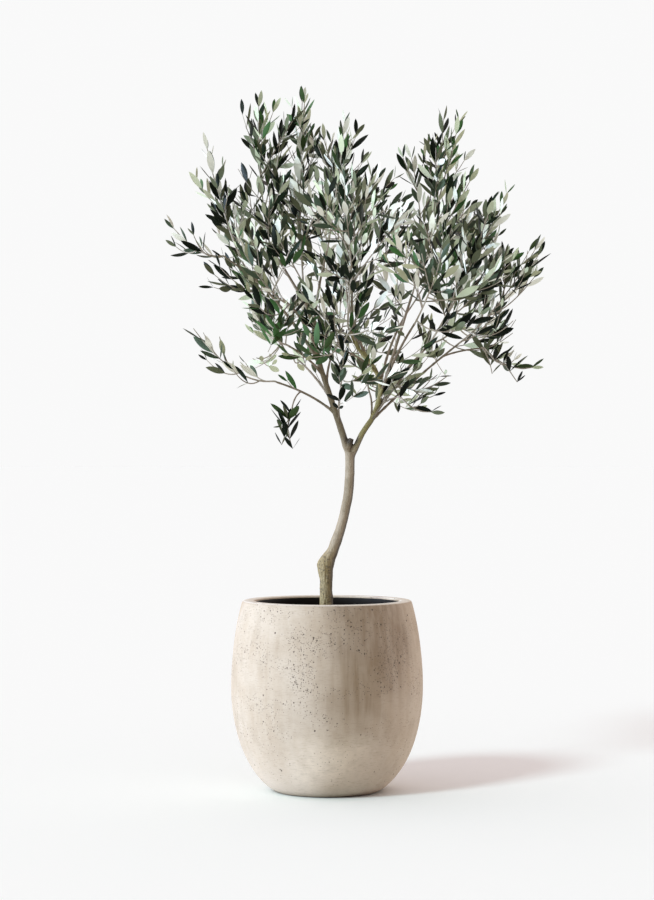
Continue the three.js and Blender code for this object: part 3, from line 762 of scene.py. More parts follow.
def grow_limbs():
    """The paths of the trunk, the boughs and the limbs."""
    centres = through_points([centre for centre, radius in TRUNK], BEND_STEPS)
    radii = through_points([[radius] for centre, radius in TRUNK], BEND_STEPS)
    paths = {"trunk": Path(centres, np.concatenate(radii))}
    for name, (share, bends, radii) in BOUGHS.items():
        root, _ = paths["trunk"].at(share)
        paths[f"bough_{name}"] = Path(through_points([root, *bends], BEND_STEPS), radii)
    for name, (parent, share, end, radii) in LIMBS.items():
        root, heading = paths[parent].at(share)
        end = np.array(end, dtype=float)
        lead = unit(heading * KEPT_HEADING + unit(end - root))
        pull = root + lead * (np.linalg.norm(end - root) * LIMB_LEAD)
        paths[f"limb_{name}"] = Path(bent_once(root, pull, end, LIMB_STEPS), radii)
    return paths


def bough_of(name):
    """The bough that carries a mass, at the end of the limbs that lead down from it."""
    while not name.startswith("bough"):
        name = LIMBS[name.removeprefix("limb_")][0]
    return name


def grow_leaders(limb, tip, branches, spread, seed):
    """The leading twigs of a mass: its stem, and the side branches that leave the stem's lower half."""
    start, heading = limb.at(1)
    tip = np.array(tip, dtype=float)
    end = tip - unit(tip - start) * TIP_LEAF if tip[2] > start[2] else tip
    stem = Path([start, *leader_points(start + heading * STRAIGHT_START, heading, end)], STEM_RADII)
    leaders = [stem]
    roll = dice(seed, 3)
    turn = roll() * 2 * math.pi
    for branch in range(branches):
        share = FIRST_BRANCH + BRANCH_ZONE * (branch + BRANCH_JITTER * roll()) / branches
        turn += GOLDEN_ANGLE + BRANCH_JITTER * (roll() - 0.5)
        root, lead = stem.at(share)
        beside, along = stem.at(min(1, share + within(BRANCH_AHEAD, roll())))
        end = beside + outward(along, turn) * (spread * within(SPREAD_RANGE, roll()))
        leaders.append(Path(leader_points(root, lead, end), BRANCH_RADII))
    return leaders


def against_sky(point):
    """Whether a point lies in one of the gaps where the sky shows through the crown."""
    nearness = CAMERA_DISTANCE / (CAMERA_DISTANCE + point[1])
    across = point[0] * nearness
    height = CAMERA_HEIGHT + (point[2] - CAMERA_HEIGHT) * nearness
    return any(
        math.hypot((across - middle) / half_width, (height - level) / half_height) < 1
        for middle, level, half_width, half_height in SKY_GAPS
    )


def grow_shoots(leader, seed, zone, spacing):
    """The shoots along a zone of a leading twig or limb, each turning up as it goes."""
    roll = dice(seed, 5)
    first, last = zone
    count = int(leader.length * (last - first) / spacing)
    turn = roll() * 2 * math.pi
    shoots = []
    for i in range(count):
        share = first + (last - first) * (i + 0.5 + SHOOT_JITTER * (roll() - 0.5)) / count
        root, heading = leader.at(share)
        turn += GOLDEN_ANGLE + SHOOT_JITTER * (roll() - 0.5)
        lead = tipped(heading, turn, math.radians(within(SHOOT_OPENING, roll())))
        length = SHOOT_LENGTH * within(SHOOT_LENGTHS, roll()) * (1 - SHOOT_TAPER * share)
        lift = within(SHOOT_LIFT, roll())
        points = [root]
        for _ in range(SHOOT_STEPS):
            points.append(points[-1] + lead * (length / SHOOT_STEPS))
            lead = unit(lead + UP * (lift / SHOOT_STEPS))
        if not against_sky(points[-1]):
            shoots.append(Path(points, SHOOT_RADII))
    return shoots


def grow_leaves(twig, bare, seed, full_length):
    """The leaves of a twig, in crossed pairs: the root, the axis, the upper face and the length of each."""
    roll = dice(seed, 11)
    spacing, openings = LEAF_SPACING, LEAF_OPENING
    if twig.points[0][2] - twig.points[-1][2] > twig.length * HANG_DROP:
        bare *= HANG_BARE
        spacing *= HANG_SPACING
        openings = HANG_OPENING
    pairs = max(1, int(twig.length * (1 - bare) / spacing))
    turn = roll() * math.pi
    leaves = []
    for i in range(pairs + 1):
        share = min(LAST_PAIR, bare + (1 - bare) * i / pairs)
        root, heading = twig.at(share)
        turn += math.pi / 2 + PAIR_JITTER * (roll() - 0.5)
        pair_length = full_length * (1 - TIP_TAPER * max(0.0, (share - TAPER_FROM) / (1 - TAPER_FROM)))
        if i < SMALL_PAIRS:
            pair_length *= SMALL_SIZE
        opening = math.radians(within(openings, share))
        lift = LEAF_LIFT + HANG_LIFT * max(0.0, -heading[2])
        for side in (0, math.pi):
            angle = opening * within(OPENING_RANGE, roll())
            axis = unit(tipped(heading, turn + side + LEAF_JITTER * (roll() - 0.5), angle) + UP * lift)
            face = unit(heading - axis * heading.dot(axis))
            leaves.append((root, axis, face, pair_length * within(LENGTH_RANGE, roll())))
    return leaves


class Wood:
    """Trunk, boughs and limbs as one cloud of points, to tell how much room is left around a point."""

    SPACING = 4

    def __init__(self, paths):
        samples = []
        for path in paths:
            for share in np.linspace(0, 1, max(2, int(path.length / self.SPACING))):
                samples.append([*path.at(share)[0], path.radius_at(share)])
        self.samples = np.array(samples)

    def room(self, point):
        gaps = np.linalg.norm(self.samples[:, :3] - point, axis=1) - self.samples[:, 3]
        return gaps.min()

    def clear_of(self, root, axis, length):
        """Whether a leaf's outer half stays clear of wood and sky gaps, and within the crown's depth."""
        outer = [root + axis * (length * share) for share in OUTER_HALF]
        front, back = CROWN_DEPTH
        if not front < outer[-1][1] < back or any(map(against_sky, outer)):
            return False
        return all(self.room(point) > LEAF_CLEARANCE for point in outer)


def grow_mass(name, paths, wood):
    """The twigs of one mass and its leaves, with the number of the spray that each leaf belongs to."""
    tip, branches, spread, seed = FOLIAGE[name]
    limb = paths.get(f"limb_{name}") or paths[name]
    stem, *side_branches = grow_leaders(limb, tip, branches, spread, seed)
    leaders = [stem, *(branch for branch in side_branches if not against_sky(branch.points[-1]))]
    twigs, leaves = [], []
    for number, leader in enumerate([*leaders, limb]):
        leader_seed = seed_of(LEADER_SEEDS, seed, number)
        if leader is limb:
            sprays = []
            shoots = grow_shoots(limb, leader_seed, LIMB_SHOOT_ZONE, LIMB_SHOOT_SPACING)
        else:
            sprays = [grow_leaves(leader, LEADER_BARE, leader_seed, LEAF_LENGTH)]
            spacing = SLIM_SHOOT_SPACING if spread < SLIM_SPREAD else SHOOT_SPACING
            shoots = grow_shoots(leader, leader_seed, SHOOT_ZONE, spacing)
            twigs.append(leader)
        for k, shoot in enumerate(shoots):
            shoot_seed = seed_of(SHOOT_SEEDS, seed, number, k)
            sprays.append(grow_leaves(shoot, SHOOT_BARE, shoot_seed, SHOOT_LEAF_LENGTH))
        twigs += shoots
        for k, spray in enumerate(sprays):
            spray_number = seed_of(SPRAY_SEEDS, seed, number, k)
            for root, axis, face, length in spray:
                if wood.clear_of(root, axis, length):
                    leaves.append((root, axis, face, length, spray_number))
    return twigs, leaves


# Meshes from arrays and recipes

def mesh_of(name, points, edges=(), faces=()):
    """A mesh from points in millimetres."""
    mesh = bpy.data.meshes.new(name)
    mesh.from_pydata([tuple(np.array(point, dtype=float) * MM) for point in points], edges, faces)
    return mesh


def add_attribute(mesh, name, kind, values):
    """Stores one value for each point of a mesh."""
    key = "vector" if kind == "FLOAT_VECTOR" else "value"
    dtype = np.int32 if kind == "INT" else np.float32
    flat = np.array(values, dtype=dtype).ravel()
    mesh.attributes.new(name, kind, "POINT").data.foreach_set(key, flat)


def tube_recipe():
    """Round tubes along the edges of a mesh, as thick as its thickness attribute says."""
    recipe = Recipe("tubes", Sides="Int", Finish="Material")
    curve = recipe.add("GeometryNodeMeshToCurve", {"Mesh": recipe.given("Geometry")})
    sockets = {"Resolution": recipe.given("Sides"), "Radius": 1}
    ring = recipe.add("GeometryNodeCurvePrimitiveCircle", sockets)
    thickness = recipe.attribute("thickness", "FLOAT")
    sockets = {"Curve": curve, "Profile Curve": ring, "Scale": thickness, "Fill Caps": True}
    tube = recipe.add("GeometryNodeCurveToMesh", sockets)
    sockets = {"Geometry": tube, "Shade Smooth": True}
    return recipe.finish(recipe.add("GeometryNodeSetShadeSmooth", sockets))


def skeleton(name, paths):
    """The centre lines of paths as one mesh of edges, with the thickness at each point."""
    points, edges, thickness = [], [], []
    for path in paths:
        first = len(points)
        points += path.points
        thickness += [radius * MM for radius in path.radii]
        edges += [(first + i, first + i + 1) for i in range(len(path.points) - 1)]
    mesh = mesh_of(name, points, edges)
    add_attribute(mesh, "thickness", "FLOAT", thickness)
    return mesh


def spray_recipe():
    """One leaf from a collection at every point of a mesh, along its axis and with its face up."""
    recipe = Recipe("leaves", Blades="Collection")
    sockets = {"Collection": recipe.given("Blades"), "Separate Children": True, "Reset Children": True}
    blades = recipe.add("GeometryNodeCollectionInfo", sockets)
    sockets = {
        "Primary Axis": recipe.attribute("axis", "FLOAT_VECTOR"),
        "Secondary Axis": recipe.attribute("face", "FLOAT_VECTOR"),
    }
    turn = recipe.add("FunctionNodeAxesToRotation", sockets, primary_axis="Y", secondary_axis="Z")
    sockets = {
        "Points": recipe.given("Geometry"),
        "Instance": blades,
        "Pick Instance": True,
        "Instance Index": recipe.attribute("kind", "INT"),
        "Rotation": turn,
        "Scale": recipe.attribute("size", "FLOAT_VECTOR"),
    }
    return recipe.finish(recipe.add("GeometryNodeInstanceOnPoints", sockets), bare=False)


# Leaf blades, whose sizes are shares of their length

BLADE_STEPS = 7
BLADE_SIDES = 4  # corners of a section: left margin, top, right margin and underside
HALF_WIDTH = 0.127
STALK_SHARE = 0.06
STALK_HALF_WIDTH = 0.006
BLADE_LEAN = 0.95  # under 1, the blade is widest nearer to its root
BLADE_FULLNESS = 0.78  # under 1, its ends are fuller than a sine's
BLADE_THICKNESS = 0.016
BLADE_ARCH = 0.2  # how far the margins turn down, as a share of the half width
MIDRIB = 0.002  # how far the middle of the upper face stands up

# How a blade lies: how far its tip drops, how far it sways sideways, and how far it turns on its axis
BLADE_FORMS = [(0.02, 0.02, 0.0), (0.08, -0.03, 0.3), (-0.06, 0.03, -0.3), (0.14, 0.04, 0.15)]

# Roughness and gloss of the two faces
UPPER_FACE = (0.42, 0.09)
UNDER_FACE = (0.75, 0.1)

# The colours of the upper and the under face of a spray's leaves, and how many sprays in twenty have them
LEAF_TINTS = {
    # painted shade: leaves with both faces darker than the others, their under faces too, as if they lay in
    # shadow
    "dark": ((0.004, 0.007, 0.003), (0.11, 0.12, 0.068), 8),
    "deep": ((0.006, 0.013, 0.005), (0.53, 0.58, 0.41), 3),
    "olive": ((0.03, 0.05, 0.014), (0.38, 0.4, 0.25), 1),
    "fresh": ((0.035, 0.085, 0.022), (0.5, 0.515, 0.34), 2),
    "sage": ((0.06, 0.112, 0.045), (0.56, 0.57, 0.41), 1),
    "silver": ((0.05, 0.07, 0.042), (0.86, 0.855, 0.74), 5),
}


def blade_rings(drop, sway, twist):
    """The sections of a blade that runs along +Y, from stalk to tip."""
    rings = []
    for i in range(1, BLADE_STEPS):
        share = i / BLADE_STEPS
        blade = max(0.0, (share - STALK_SHARE) / (1 - STALK_SHARE))
        fullness = math.sin(math.pi * blade**BLADE_LEAN) ** BLADE_FULLNESS
        width = HALF_WIDTH * fullness + STALK_HALF_WIDTH
        middle = Vector((sway * share**2, share, -drop * share**2))
        angle = twist * share
        across = Vector((math.cos(angle), 0, math.sin(angle)))
        up = Vector((-math.sin(angle), 0, math.cos(angle)))
        edge = -up * (BLADE_ARCH * width)
        rings.append([
            middle - across * width + edge,
            middle + up * MIDRIB,
            middle + across * width + edge,
            middle - up * BLADE_THICKNESS,
        ])
    return rings


def blade_mesh(name, drop, sway, twist, upper, under):
    """A closed leaf along +Y, with margins turned down and two faces that meet in a sharp rim."""
    points = [point for ring in blade_rings(drop, sway, twist) for point in ring]
    sides = BLADE_SIDES
    last = len(points) - sides
    root, tip = len(points), len(points) + 1
    points += [Vector((0, 0, 0)), Vector((sway, 1, -drop))]
    faces, is_under = [], []
    for first in range(0, last, sides):
        for i in range(sides):
            a, b = first + i, first + (i + 1) % sides
            faces.append((a, b, b + sides, a + sides))
            is_under.append(i >= 2)
    for i in range(sides):
        faces.append((i, root, (i + 1) % sides))
        faces.append((last + (i + 1) % sides, tip, last + i))
        is_under += [i >= 2, i >= 2]
    mesh = bpy.data.meshes.new(name)
    mesh.from_pydata(points, [], faces)
    mesh.materials.append(upper)
    mesh.materials.append(under)
    mesh.polygons.foreach_set("material_index", [int(flag) for flag in is_under])
    mesh.polygons.foreach_set("use_smooth", [True] * len(faces))
    rim = set()
    for margin in (0, 2):
        line = [root, *range(margin, last + sides, sides), tip]
        rim |= {frozenset(pair) for pair in zip(line, line[1:])}
    for edge in mesh.edges:
        edge.use_edge_sharp = frozenset(edge.vertices) in rim
    return mesh


def leaf_blades():
    """A collection of every form of leaf in every tint, in the order that leaf kinds are counted."""
    blades = bpy.data.collections.new("blades")
    for tint, (upper, under, _) in LEAF_TINTS.items():
        faces = (
            leaf_face(f"leaf_{tint}_upper", upper, *UPPER_FACE),
            leaf_face(f"leaf_{tint}_under", under, *UNDER_FACE),
        )
        for form, shape in enumerate(BLADE_FORMS):
            name = f"blade_{len(blades.objects):02d}_{tint}_{form}"
            blades.objects.link(bpy.data.objects.new(name, blade_mesh(name, *shape, *faces)))
    return blades


def tint_of(spray):
    """The tint that the dice give to a spray."""
    shares = [share for _, _, share in LEAF_TINTS.values()]
    pick = dice(spray, 17)() * sum(shares)
    return int(np.searchsorted(np.cumsum(shares), pick, side="right"))


def leaves_piece(name, leaves, recipe, blades):
    """Every leaf of a list, as one joined mesh."""
    roll = dice(len(leaves), 23)
    roots, axes, faces, lengths, sprays = zip(*leaves)
    sizes = [[length * within(WIDTH_RANGE, roll()), length, length] for length in lengths]
    forms = len(BLADE_FORMS)
    mesh = mesh_of(name, roots)
    add_attribute(mesh, "axis", "FLOAT_VECTOR", axes)
    add_attribute(mesh, "face", "FLOAT_VECTOR", faces)
    add_attribute(mesh, "size", "FLOAT_VECTOR", np.array(sizes) * MM)
    add_attribute(mesh, "kind", "INT", [tint_of(spray) * forms + int(roll() * forms) for spray in sprays])
    return made_by(recipe, name, mesh, Blades=blades)


# Trunk, boughs and limbs

WOOD_SIDES = 24
WOOD_VOXEL = 1.25
WOOD_SMOOTHING = 5
RELIEF_RISE = (1, 6)  # the relief begins this far above the soil, and is full that much higher
PAINTED_SHADE_WAY = Vector((0.88, 0.35, -0.3))  # the way that the wood faces where shade is painted on the bark
PAINTED_SHADE_RISE = (0.02, 0.62)  # and how directly it faces it where that painted shade begins and where it is full
STUB_END = (49, -3, 703)
STUB = [((42, 0, 684), 7), ((46, -2, 695), 6.4), (STUB_END, 5.4)]

# The swollen foot of a limb: how far out along it, and how many times its own radius
COLLAR = [(0, 1.7), (8, 1.55), (14, 1.25), (22, 1.02)]

# Old leaf joints along a limb: their spacing, how much thicker it is there, and how short the swelling is
JOINT_SPACING = 22
JOINT_SWELL = 0.22
JOINT_POWER = 6
STEPS_PER_JOINT = 4
LIMB_SIDES = 8
TWIG_SIDES = 6
ROUNDING_STEPS = 2  # points on each stretch of a limb or twig that has been rounded off

# The bark's relief, in millimetres: how fast each pattern changes along the axes, and how far it stands out
# on the smooth bark and on the rough bark
RIDGES = ((0.22, 0.22, 0.05), (0.22, 0.92))
WAVES = ((0.045, 0.045, 0.045), (0.4, 0.9))
FINE_GRAIN = ((0.6, 0.6, 0.25), (0.15, 0.4))
ROUGH_BARK = (430, 530)  # heights up to which the bark is rough, and from which it is smooth
BARK_DROP = 0.3

# Swellings and hollows of the bark: the place on it, how far it stands out, and how wide it is
KNOTS = [
    ((-16, -2, 452), 3, 9),
    ((-10, -9, 464), 1.6, 8),
    ((-3, -4, 488), -3.6, 11),
    ((12, -6, 462), -2.2, 6),
    ((18, -6, 448), 1, 6),
    ((-8, -12, 384), 1.5, 4),
    ((-7, -13, 384), -1.8, 2.2),
    ((53, -2, 633), 1.6, 4),
    ((34, -8, 600), -0.9, 3),
    ((30, -2, 688), 1.2, 9),
    ((-18, 2, 842), 1.5, 7),
    ((105, -8, 772), 1.2, 7),
    ((-10, 10, 410), 1.6, 9),
    ((8, 12, 430), 1.3, 8),
    ((40, 12, 560), 1.2, 6),
]


def limb_collars(paths):
    """The swollen foot of every limb, where it leaves a bough."""
    collars = []
    for name, (parent, *_, radii) in LIMBS.items():
        if parent.startswith("bough"):
            limb = paths[f"limb_{name}"]
            centres = [limb.at(run / limb.length)[0] for run, _ in COLLAR]
            collars.append(Path(centres, [radii[0] * swell for _, swell in COLLAR]))
    return collars


def pattern(point, paces):
    """Noise from -1 to 1 that changes along each axis at its own pace."""
    return noise.noise(Vector([value * pace for value, pace in zip(point, paces)]))


def bark_relief(point):
    """How far the bark stands out at a point: ridges low down, and knots where they grew."""
    rough_to, smooth_from = ROUGH_BARK
    low = 1 - min(max((point.z - rough_to) / (smooth_from - rough_to), 0), 1)
    ridges, waves, grain = (pattern(point, paces) for paces, _ in (RIDGES, WAVES, FINE_GRAIN))
    height = within(RIDGES[1], low) * (0.5 - 2 * abs(ridges))
    height += waves * within(WAVES[1], low) + grain * within(FINE_GRAIN[1], low) - BARK_DROP
    for place, swell, width in KNOTS:
        distance = (point - Vector(place)).length
        if distance < 3 * width:
            height += swell * math.exp(-((distance / width) ** 2))
    return height


def trunk_and_boughs(paths, tubes):
    """Trunk, boughs and the feet of the limbs grown into one skin, with the relief of the bark."""
    stub = Path([centre for centre, _ in STUB], [radius for _, radius in STUB])
    wood = [paths["trunk"], paths["bough_left"], paths["bough_right"], stub, *limb_collars(paths)]
    piece = made_by(tubes, "trunk_and_boughs", skeleton("wood", wood), Sides=WOOD_SIDES)
    remesh = piece.modifiers.new("skin", "REMESH")
    remesh.mode = "VOXEL"
    remesh.voxel_size = WOOD_VOXEL * MM
    smooth = piece.modifiers.new("smooth", "SMOOTH")
    smooth.iterations = WOOD_SMOOTHING
    mesh = applied(piece).data
    normals = [vertex.normal.copy() for vertex in mesh.vertices]
    bottom, rise = RELIEF_RISE
    for vertex, normal in zip(mesh.vertices, normals):
        point = vertex.co / MM
        fade = min(max((point.z - SOIL_TOP - bottom) / rise, 0), 1)
        vertex.co += normal * (bark_relief(point) * fade * MM)
    # painted shade, stored on the points for the bark: darker where the wood faces away from the light
    shaded = [smoothstep(*PAINTED_SHADE_RISE, normal.dot(PAINTED_SHADE_WAY)) for normal in normals]
    add_attribute(mesh, "shaded", "FLOAT", shaded)
    mesh.polygons.foreach_set("use_smooth", [True] * len(mesh.polygons))
    mesh.materials.clear()
    mesh.materials.append(olive_bark())
    return piece


def rounded(path):
    """The same path with more points, so that it bends without corners."""
    curve = Path(through_points(path.points, ROUNDING_STEPS), [1, 1])
    return Path(curve.points, [path.radius_at(run / curve.length) for run in curve.runs])


def noded(path):
    """A limb's path in short steps, a little thicker at each old leaf joint."""
    steps = max(STEPS_PER_JOINT, int(path.length / (JOINT_SPACING / STEPS_PER_JOINT)))
    points, radii = [], []
    for step in range(steps + 1):
        share = step / steps
        turn = 2 * math.pi * share * path.length / JOINT_SPACING
        joint = 1 + JOINT_SWELL * max(0.0, math.cos(turn)) ** JOINT_POWER
        points.append(path.at(share)[0])
        radii.append(path.radius_at(share) * joint)
    return Path(points, radii)


# Pot and soil

def cubic(a, b, c, d, t):
    return a * (1 - t) ** 3 + b * (3 * t * (1 - t) ** 2) + c * (3 * t**2 * (1 - t)) + d * t**3


def wall_outline(inset, low, high):
    """The pot's outer outline from foot to rim, moved in by a distance, between two heights."""
    foot, belly, rim = (FOOT_RADIUS, 0), (BELLY_RADIUS, BELLY_HEIGHT), (RIM_RADIUS, POT_HEIGHT)
    outline = []
    for curve in ((foot, FOOT_PULL, UNDER_BELLY_PULL, belly), (belly, OVER_BELLY_PULL, RIM_PULL, rim)):
        ends = np.array(curve, dtype=float)
        for step in range(WALL_STEPS + 1):
            t = step / WALL_STEPS
            across, up = unit(cubic(*ends, t + TANGENT_STEP) - cubic(*ends, t - TANGENT_STEP))
            point = cubic(*ends, t) + np.array([-up, across]) * inset
            if low < point[1] < high and (not outline or point[1] - outline[-1][1] > LEAST_RISE):
                outline.append(point)
    return outline


def rounded_corner(before, apex, after, steps=4):
    """The points of a rounded corner between two points of an outline."""
    return bent_once(*(np.array(point, dtype=float) for point in (before, apex, after)), steps)


def turned(name, outline, segments, wobble=0.0):
    """A closed shape turned round the z axis, from an outline that starts and ends on it."""
    rings = outline[1:-1]
    points = []
    for radius, height in rings:
        for segment in range(segments):
            angle = 2 * math.pi * segment / segments
            place = Vector((radius * math.cos(angle), radius * math.sin(angle), height))
            bulge = wobble * noise.noise(place * WOBBLE_PACE)
            points.append(place + Vector((math.cos(angle), math.sin(angle), 0)) * bulge)
    bottom, top = len(points), len(points) + 1
    points += [Vector((0, 0, outline[0][1])), Vector((0, 0, outline[-1][1]))]
    last = (len(rings) - 1) * segments
    faces = []
    for segment in range(segments):
        after = (segment + 1) % segments
        faces.append((bottom, after, segment))
        for first in range(0, last, segments):
            a, b = first + segment, first + after
            faces.append((a, b, b + segments, a + segments))
        faces.append((last + segment, last + after, top))
    mesh = mesh_of(name, points, [], faces)
    mesh.polygons.foreach_set("use_smooth", [True] * len(faces))
    return mesh


def concrete_pot():
    """The pot: foot, round belly, soft rim and the dark inside, all one wall."""
    rim_edge = POT_HEIGHT - RIM_ROUNDING
    foot_in, foot_up = FOOT_ROUNDING
    floor_in, floor_up = FLOOR_CORNER
    outside = wall_outline(0, foot_up, rim_edge)
    inside = wall_outline(WALL, FLOOR + floor_up, rim_edge)[::-1]
    lip = inside[0][0]
    foot = FOOT_RADIUS - foot_in
    outline = [
        *((FOOT_RADIUS * share, height) for share, height in FOOT_HOLLOW),
        (foot, 0),
        *rounded_corner((foot + 1, 0), (FOOT_RADIUS, 0.2), outside[0])[1:],
        *outside[1:],
        *rounded_corner(outside[-1], (RIM_RADIUS, POT_HEIGHT), (RIM_RADIUS - RIM_ROUNDING, POT_HEIGHT))[1:],
        *rounded_corner((lip + RIM_ROUNDING, POT_HEIGHT), (lip, POT_HEIGHT), inside[0]),
        *inside[1:],
        (inside[-1][0] - floor_in, FLOOR),
        (0, FLOOR),
    ]
    mesh = turned("pot", outline, POT_SEGMENTS, WALL_WOBBLE)
    mesh.materials.append(pale_concrete())
    mesh.materials.append(sealed_inside())
    for polygon in mesh.polygons:
        centre = polygon.center
        faces_in = centre.x * polygon.normal.x + centre.y * polygon.normal.y < 0
        is_inside = FLOOR * MM < centre.z < (POT_HEIGHT - DARK_BELOW_RIM) * MM
        polygon.material_index = int(faces_in and is_inside)
    return scene_object("concrete_pot", mesh)


def crumb_recipe():
    """Crumbs of soil strewn over the level faces of a mesh, which they lie on."""
    recipe = Recipe("crumbs", Size="Float", Density="Float", Seed="Int", Finish="Material")
    bed, seed = recipe.given("Geometry"), recipe.given("Seed")

    def random_vector(least, most):
        sockets = {"Min": least, "Max": most, "Seed": seed}
        return recipe.add("FunctionNodeRandomValue", sockets, data_type="FLOAT_VECTOR")

    normal = recipe.add("GeometryNodeInputNormal")
    is_level = recipe.add("ShaderNodeSeparateXYZ", {"Vector": normal}, "Z") > LEVEL
    sockets = {"Mesh": bed, "Selection": is_level, "Density": recipe.given("Density"), "Seed": seed}
    strewn = recipe.add("GeometryNodeDistributePointsOnFaces", sockets, "Points")
    crumb = recipe.add("GeometryNodeMeshIcoSphere", {"Radius": 1, "Subdivisions": 1}, "Mesh")
    turn = random_vector((0, 0, 0), [CRUMB_TURN] * 3)
    sockets = {"Vector": random_vector(*CRUMB_SHAPES), "Scale": recipe.given("Size")}
    size = recipe.add("ShaderNodeVectorMath", sockets, operation="SCALE")
    rotation = recipe.add("FunctionNodeEulerToRotation", {"Euler": turn})
    sockets = {"Points": strewn, "Instance": crumb, "Rotation": rotation, "Scale": size}
    crumbs = recipe.add("GeometryNodeInstanceOnPoints", sockets)
    joined = recipe.tree.nodes.new("GeometryNodeJoinGeometry")
    for part in (crumbs, bed):
        recipe.feed(joined.inputs[0], part)
    return recipe.finish(Signal(recipe, joined.outputs[0]))


def soil_bed():
    """The soil: an uneven bed that fills the pot, strewn with crumbs."""
    corner_in, corner_up = SOIL_CORNER
    side = wall_outline(WALL + SOIL_GAP, FLOOR + corner_up, SOIL_TOP - SOIL_SIDE_DROP)
    edge = side[-1][0]
    middle = SOIL_TOP - SOIL_DIP
    shares = [1 - ring / SOIL_RINGS for ring in range(1, SOIL_RINGS)]
    top = [(edge * share, middle - SOIL_EDGE_DROP * share**4) for share in shares]
    bottom = FLOOR + SOIL_GAP
    outline = [(0, bottom), (side[0][0] - corner_in, bottom), *side, *top, (0, middle)]
    mesh = turned("soil", outline, SOIL_SEGMENTS)
    foot_x, foot_y, _ = TRUNK[0][0]
    mound_height, mound_radius = MOUND
    for vertex in mesh.vertices:
        point = vertex.co / MM
        if point.z > SOIL_TOP - SOIL_CRUST:
            from_trunk = math.hypot(point.x - foot_x, point.y - foot_y)
            mound = mound_height * math.exp(-((from_trunk / mound_radius) ** 2))
            calm = min(1, (edge - math.hypot(point.x, point.y)) / SOIL_CALM)
            lumps = sum(height * noise.noise(point * pace) for height, pace in LUMPS)
            vertex.co.z += (mound + (lumps - 1) * calm) * MM
    sizes = {"Size": CRUMB_SIZE * MM, "Density": CRUMB_DENSITY, "Seed": CRUMB_SEED}
    return made_by(crumb_recipe(), "potting_soil", mesh, **sizes, Finish=potting_soil())


# Floor, light and camera

BACKDROP = 0.95  # how bright floor and background look
FLOOR_HALF = 90000
FLOOR_DROP = 0.2  # just below the foot

# The dome of light: its tint, the way to its brightest spot, and its brightness far from it and at it
DOME_TINT = (1.12, 0.96, 0.93)
DOME_SUMMIT = (-0.25, 0.2, 0.95)
DOME_GLOW = (0.18, 0.9)
DOME_SPREAD = (0.05, 0.8)  # where the glow begins and where it is full, as cosines of the way to the summit

# Soft lamps: the way to each, its tint, its strength on a surface that faces it, its width in degrees, and
# whether it also lights the floor
LAMPS = {
    "key": ((-0.6, -0.64, 0.59), (0.8, 1.03, 1.06), 1.6, 13, True),
    "side": ((-0.98, -0.18, 0.05), (0.9, 1.14, 1.5), 4.6, 16, False),
    "rim": ((0.94, 0.3, 0.06), (1.0, 0.98, 0.96), 2.0, 20, False),
}


def dome():
    """The world: a dome that glows overhead and lights the scene, and the backdrop that the camera sees."""
    world = bpy.data.worlds.new("studio")
    bpy.context.scene.world = world
    world.use_nodes = True
    sky = Nodes(world.node_tree)
    sockets = {0: sky.add("ShaderNodeTexCoord", output="Generated"), 1: DOME_SUMMIT}
    nearness = sky.add("ShaderNodeVectorMath", sockets, "Value", operation="DOT_PRODUCT")
    glow = nearness.between(*DOME_SPREAD) * (DOME_GLOW[1] - DOME_GLOW[0]) + DOME_GLOW[0]
    seen = sky.add("ShaderNodeLightPath", output="Is Camera Ray")
    background = world.node_tree.nodes["Background"]
    sky.feed(background.inputs["Color"], sky.mixed(DOME_TINT, [BACKDROP] * 3, seen))
    sky.feed(background.inputs["Strength"], (glow * (1 - seen)).or_more(seen))


def dome_on_floor():
    """How bright the dome alone makes a white level surface."""
    rings, steps = 60, 90
    ring_heights = (np.arange(rings) + 0.5) / rings
    heights, turns = np.meshgrid(ring_heights, (np.arange(steps) + 0.5) / steps * 2 * math.pi)
    level = np.sqrt(1 - heights**2)
    ways = np.stack([level * np.cos(turns), level * np.sin(turns), heights], axis=-1)
    glow = within(DOME_GLOW, smoothstep(*DOME_SPREAD, ways @ np.array(DOME_SUMMIT)))
    return float(np.mean(2 * heights * glow))


def lamp(name, way, tint, strength, width):
    """A soft lamp that shines from a way and looks some degrees wide."""
    light = bpy.data.lights.new(name, "SUN")
    light.energy = strength
    light.color = tint
    light.angle = math.radians(width)
    holder = scene_object(name, light)
    holder.rotation_euler = way.to_track_quat("Z", "Y").to_euler()
    return holder


def studio():
    """A pale floor as bright as the backdrop, soft lamps mostly on the left, and a dome that glows."""
    dome()
    on_floor = [share * dome_on_floor() for share in DOME_TINT]
    all_but_floor = bpy.data.collections.new("all_but_floor")
    for name, (way, tint, strength, width, lights_floor) in LAMPS.items():
        way = Vector(way).normalized()
        holder = lamp(name, way, tint, strength, width)
        if lights_floor:
            on_floor = [light + share * strength * way.z / math.pi for light, share in zip(on_floor, tint)]
        else:
            holder.light_linking.receiver_collection = all_but_floor
    half, low = FLOOR_HALF, -FLOOR_DROP
    corners = [(-half, -half, low), (half, -half, low), (half, half, low), (-half, half, low)]
    mesh = mesh_of("floor", corners, [], [(0, 1, 2, 3)])
    tone = [BACKDROP / light for light in on_floor]
    mesh.materials.append(Finish("pale_floor", color=tone, roughness=1.0, gloss=0.0).material)
    floor = scene_object("floor", mesh)
    all_but_floor.objects.link(floor)
    all_but_floor.collection_objects[0].light_linking.link_state = "EXCLUDE"


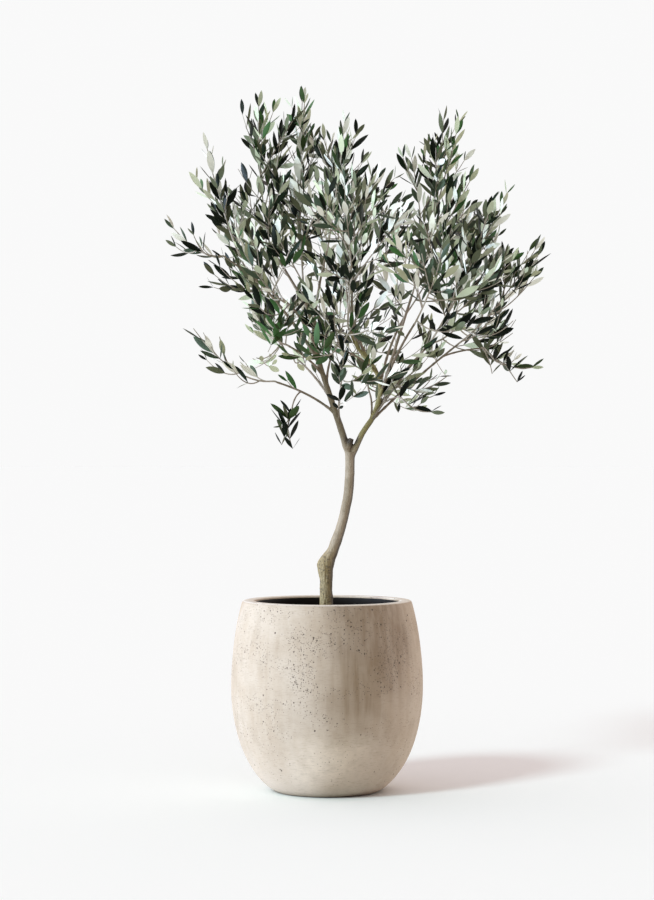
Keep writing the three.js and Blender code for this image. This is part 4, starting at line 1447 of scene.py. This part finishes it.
def camera():
    """A level camera straight in front of the plant."""
    lens = bpy.data.cameras.new("camera")
    lens.lens = LENS
    lens.clip_end = CLIP_END
    holder = scene_object("camera", lens)
    holder.location = (0, -CAMERA_DISTANCE * MM, CAMERA_HEIGHT * MM)
    holder.rotation_euler = (math.pi / 2, 0, 0)
    bpy.context.scene.camera = holder


# The whole plant

def place(piece, slot, *nodes):
    """Sets a finished piece in the frame, in the place of the nodes that it stands for."""
    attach(piece, "root")
    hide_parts(*nodes)


def place_limbs(paths, tubes):
    """The bare limbs as one piece."""
    names = [name for name in frame["nodes"] if name.startswith("limb")]
    bark = smooth_bark("limb_bark", (0.22, 0.165, 0.115), (0.12, 0.095, 0.055))
    limbs = skeleton("limbs", [noded(rounded(paths[name])) for name in paths if name.startswith("limb")])
    place(made_by(tubes, "limbs", limbs, Sides=LIMB_SIDES, Finish=bark), "green_bark", *names)


def place_crown(paths, tubes):
    """The leaves and the twigs of all masses, as one piece each for the masses of either bough."""
    bark = smooth_bark("twig_bark", (0.42, 0.36, 0.3), (0.22, 0.185, 0.125))
    wood = Wood(paths.values())
    blades = leaf_blades()
    sprays = spray_recipe()
    for side in BOUGHS:
        masses = [name for name in FOLIAGE if bough_of(name) == f"bough_{side}"]
        nodes = ["foliage_" + name.replace("bough", "crown") for name in masses]
        twigs, leaves = [], []
        for name in masses:
            mass_twigs, mass_leaves = grow_mass(name, paths, wood)
            twigs += mass_twigs
            leaves += mass_leaves
        place(leaves_piece(f"leaves_{side}", leaves, sprays, blades), "foliage", *nodes)
        lines = skeleton("twigs", [rounded(twig) for twig in twigs])
        twigs_piece = made_by(tubes, f"twigs_{side}", lines, Sides=TWIG_SIDES, Finish=bark)
        place(twigs_piece, "green_bark", *nodes)


def build():
    paths = grow_limbs()
    tubes = tube_recipe()
    place(concrete_pot(), "pot", "pot")
    place(soil_bed(), "soil", "soil")
    place(trunk_and_boughs(paths, tubes), "bark", "trunk", "bough_left", "bough_right")
    place_limbs(paths, tubes)
    place_crown(paths, tubes)
    studio()
    camera()
    bpy.context.scene.view_settings.view_transform = "Standard"


build()
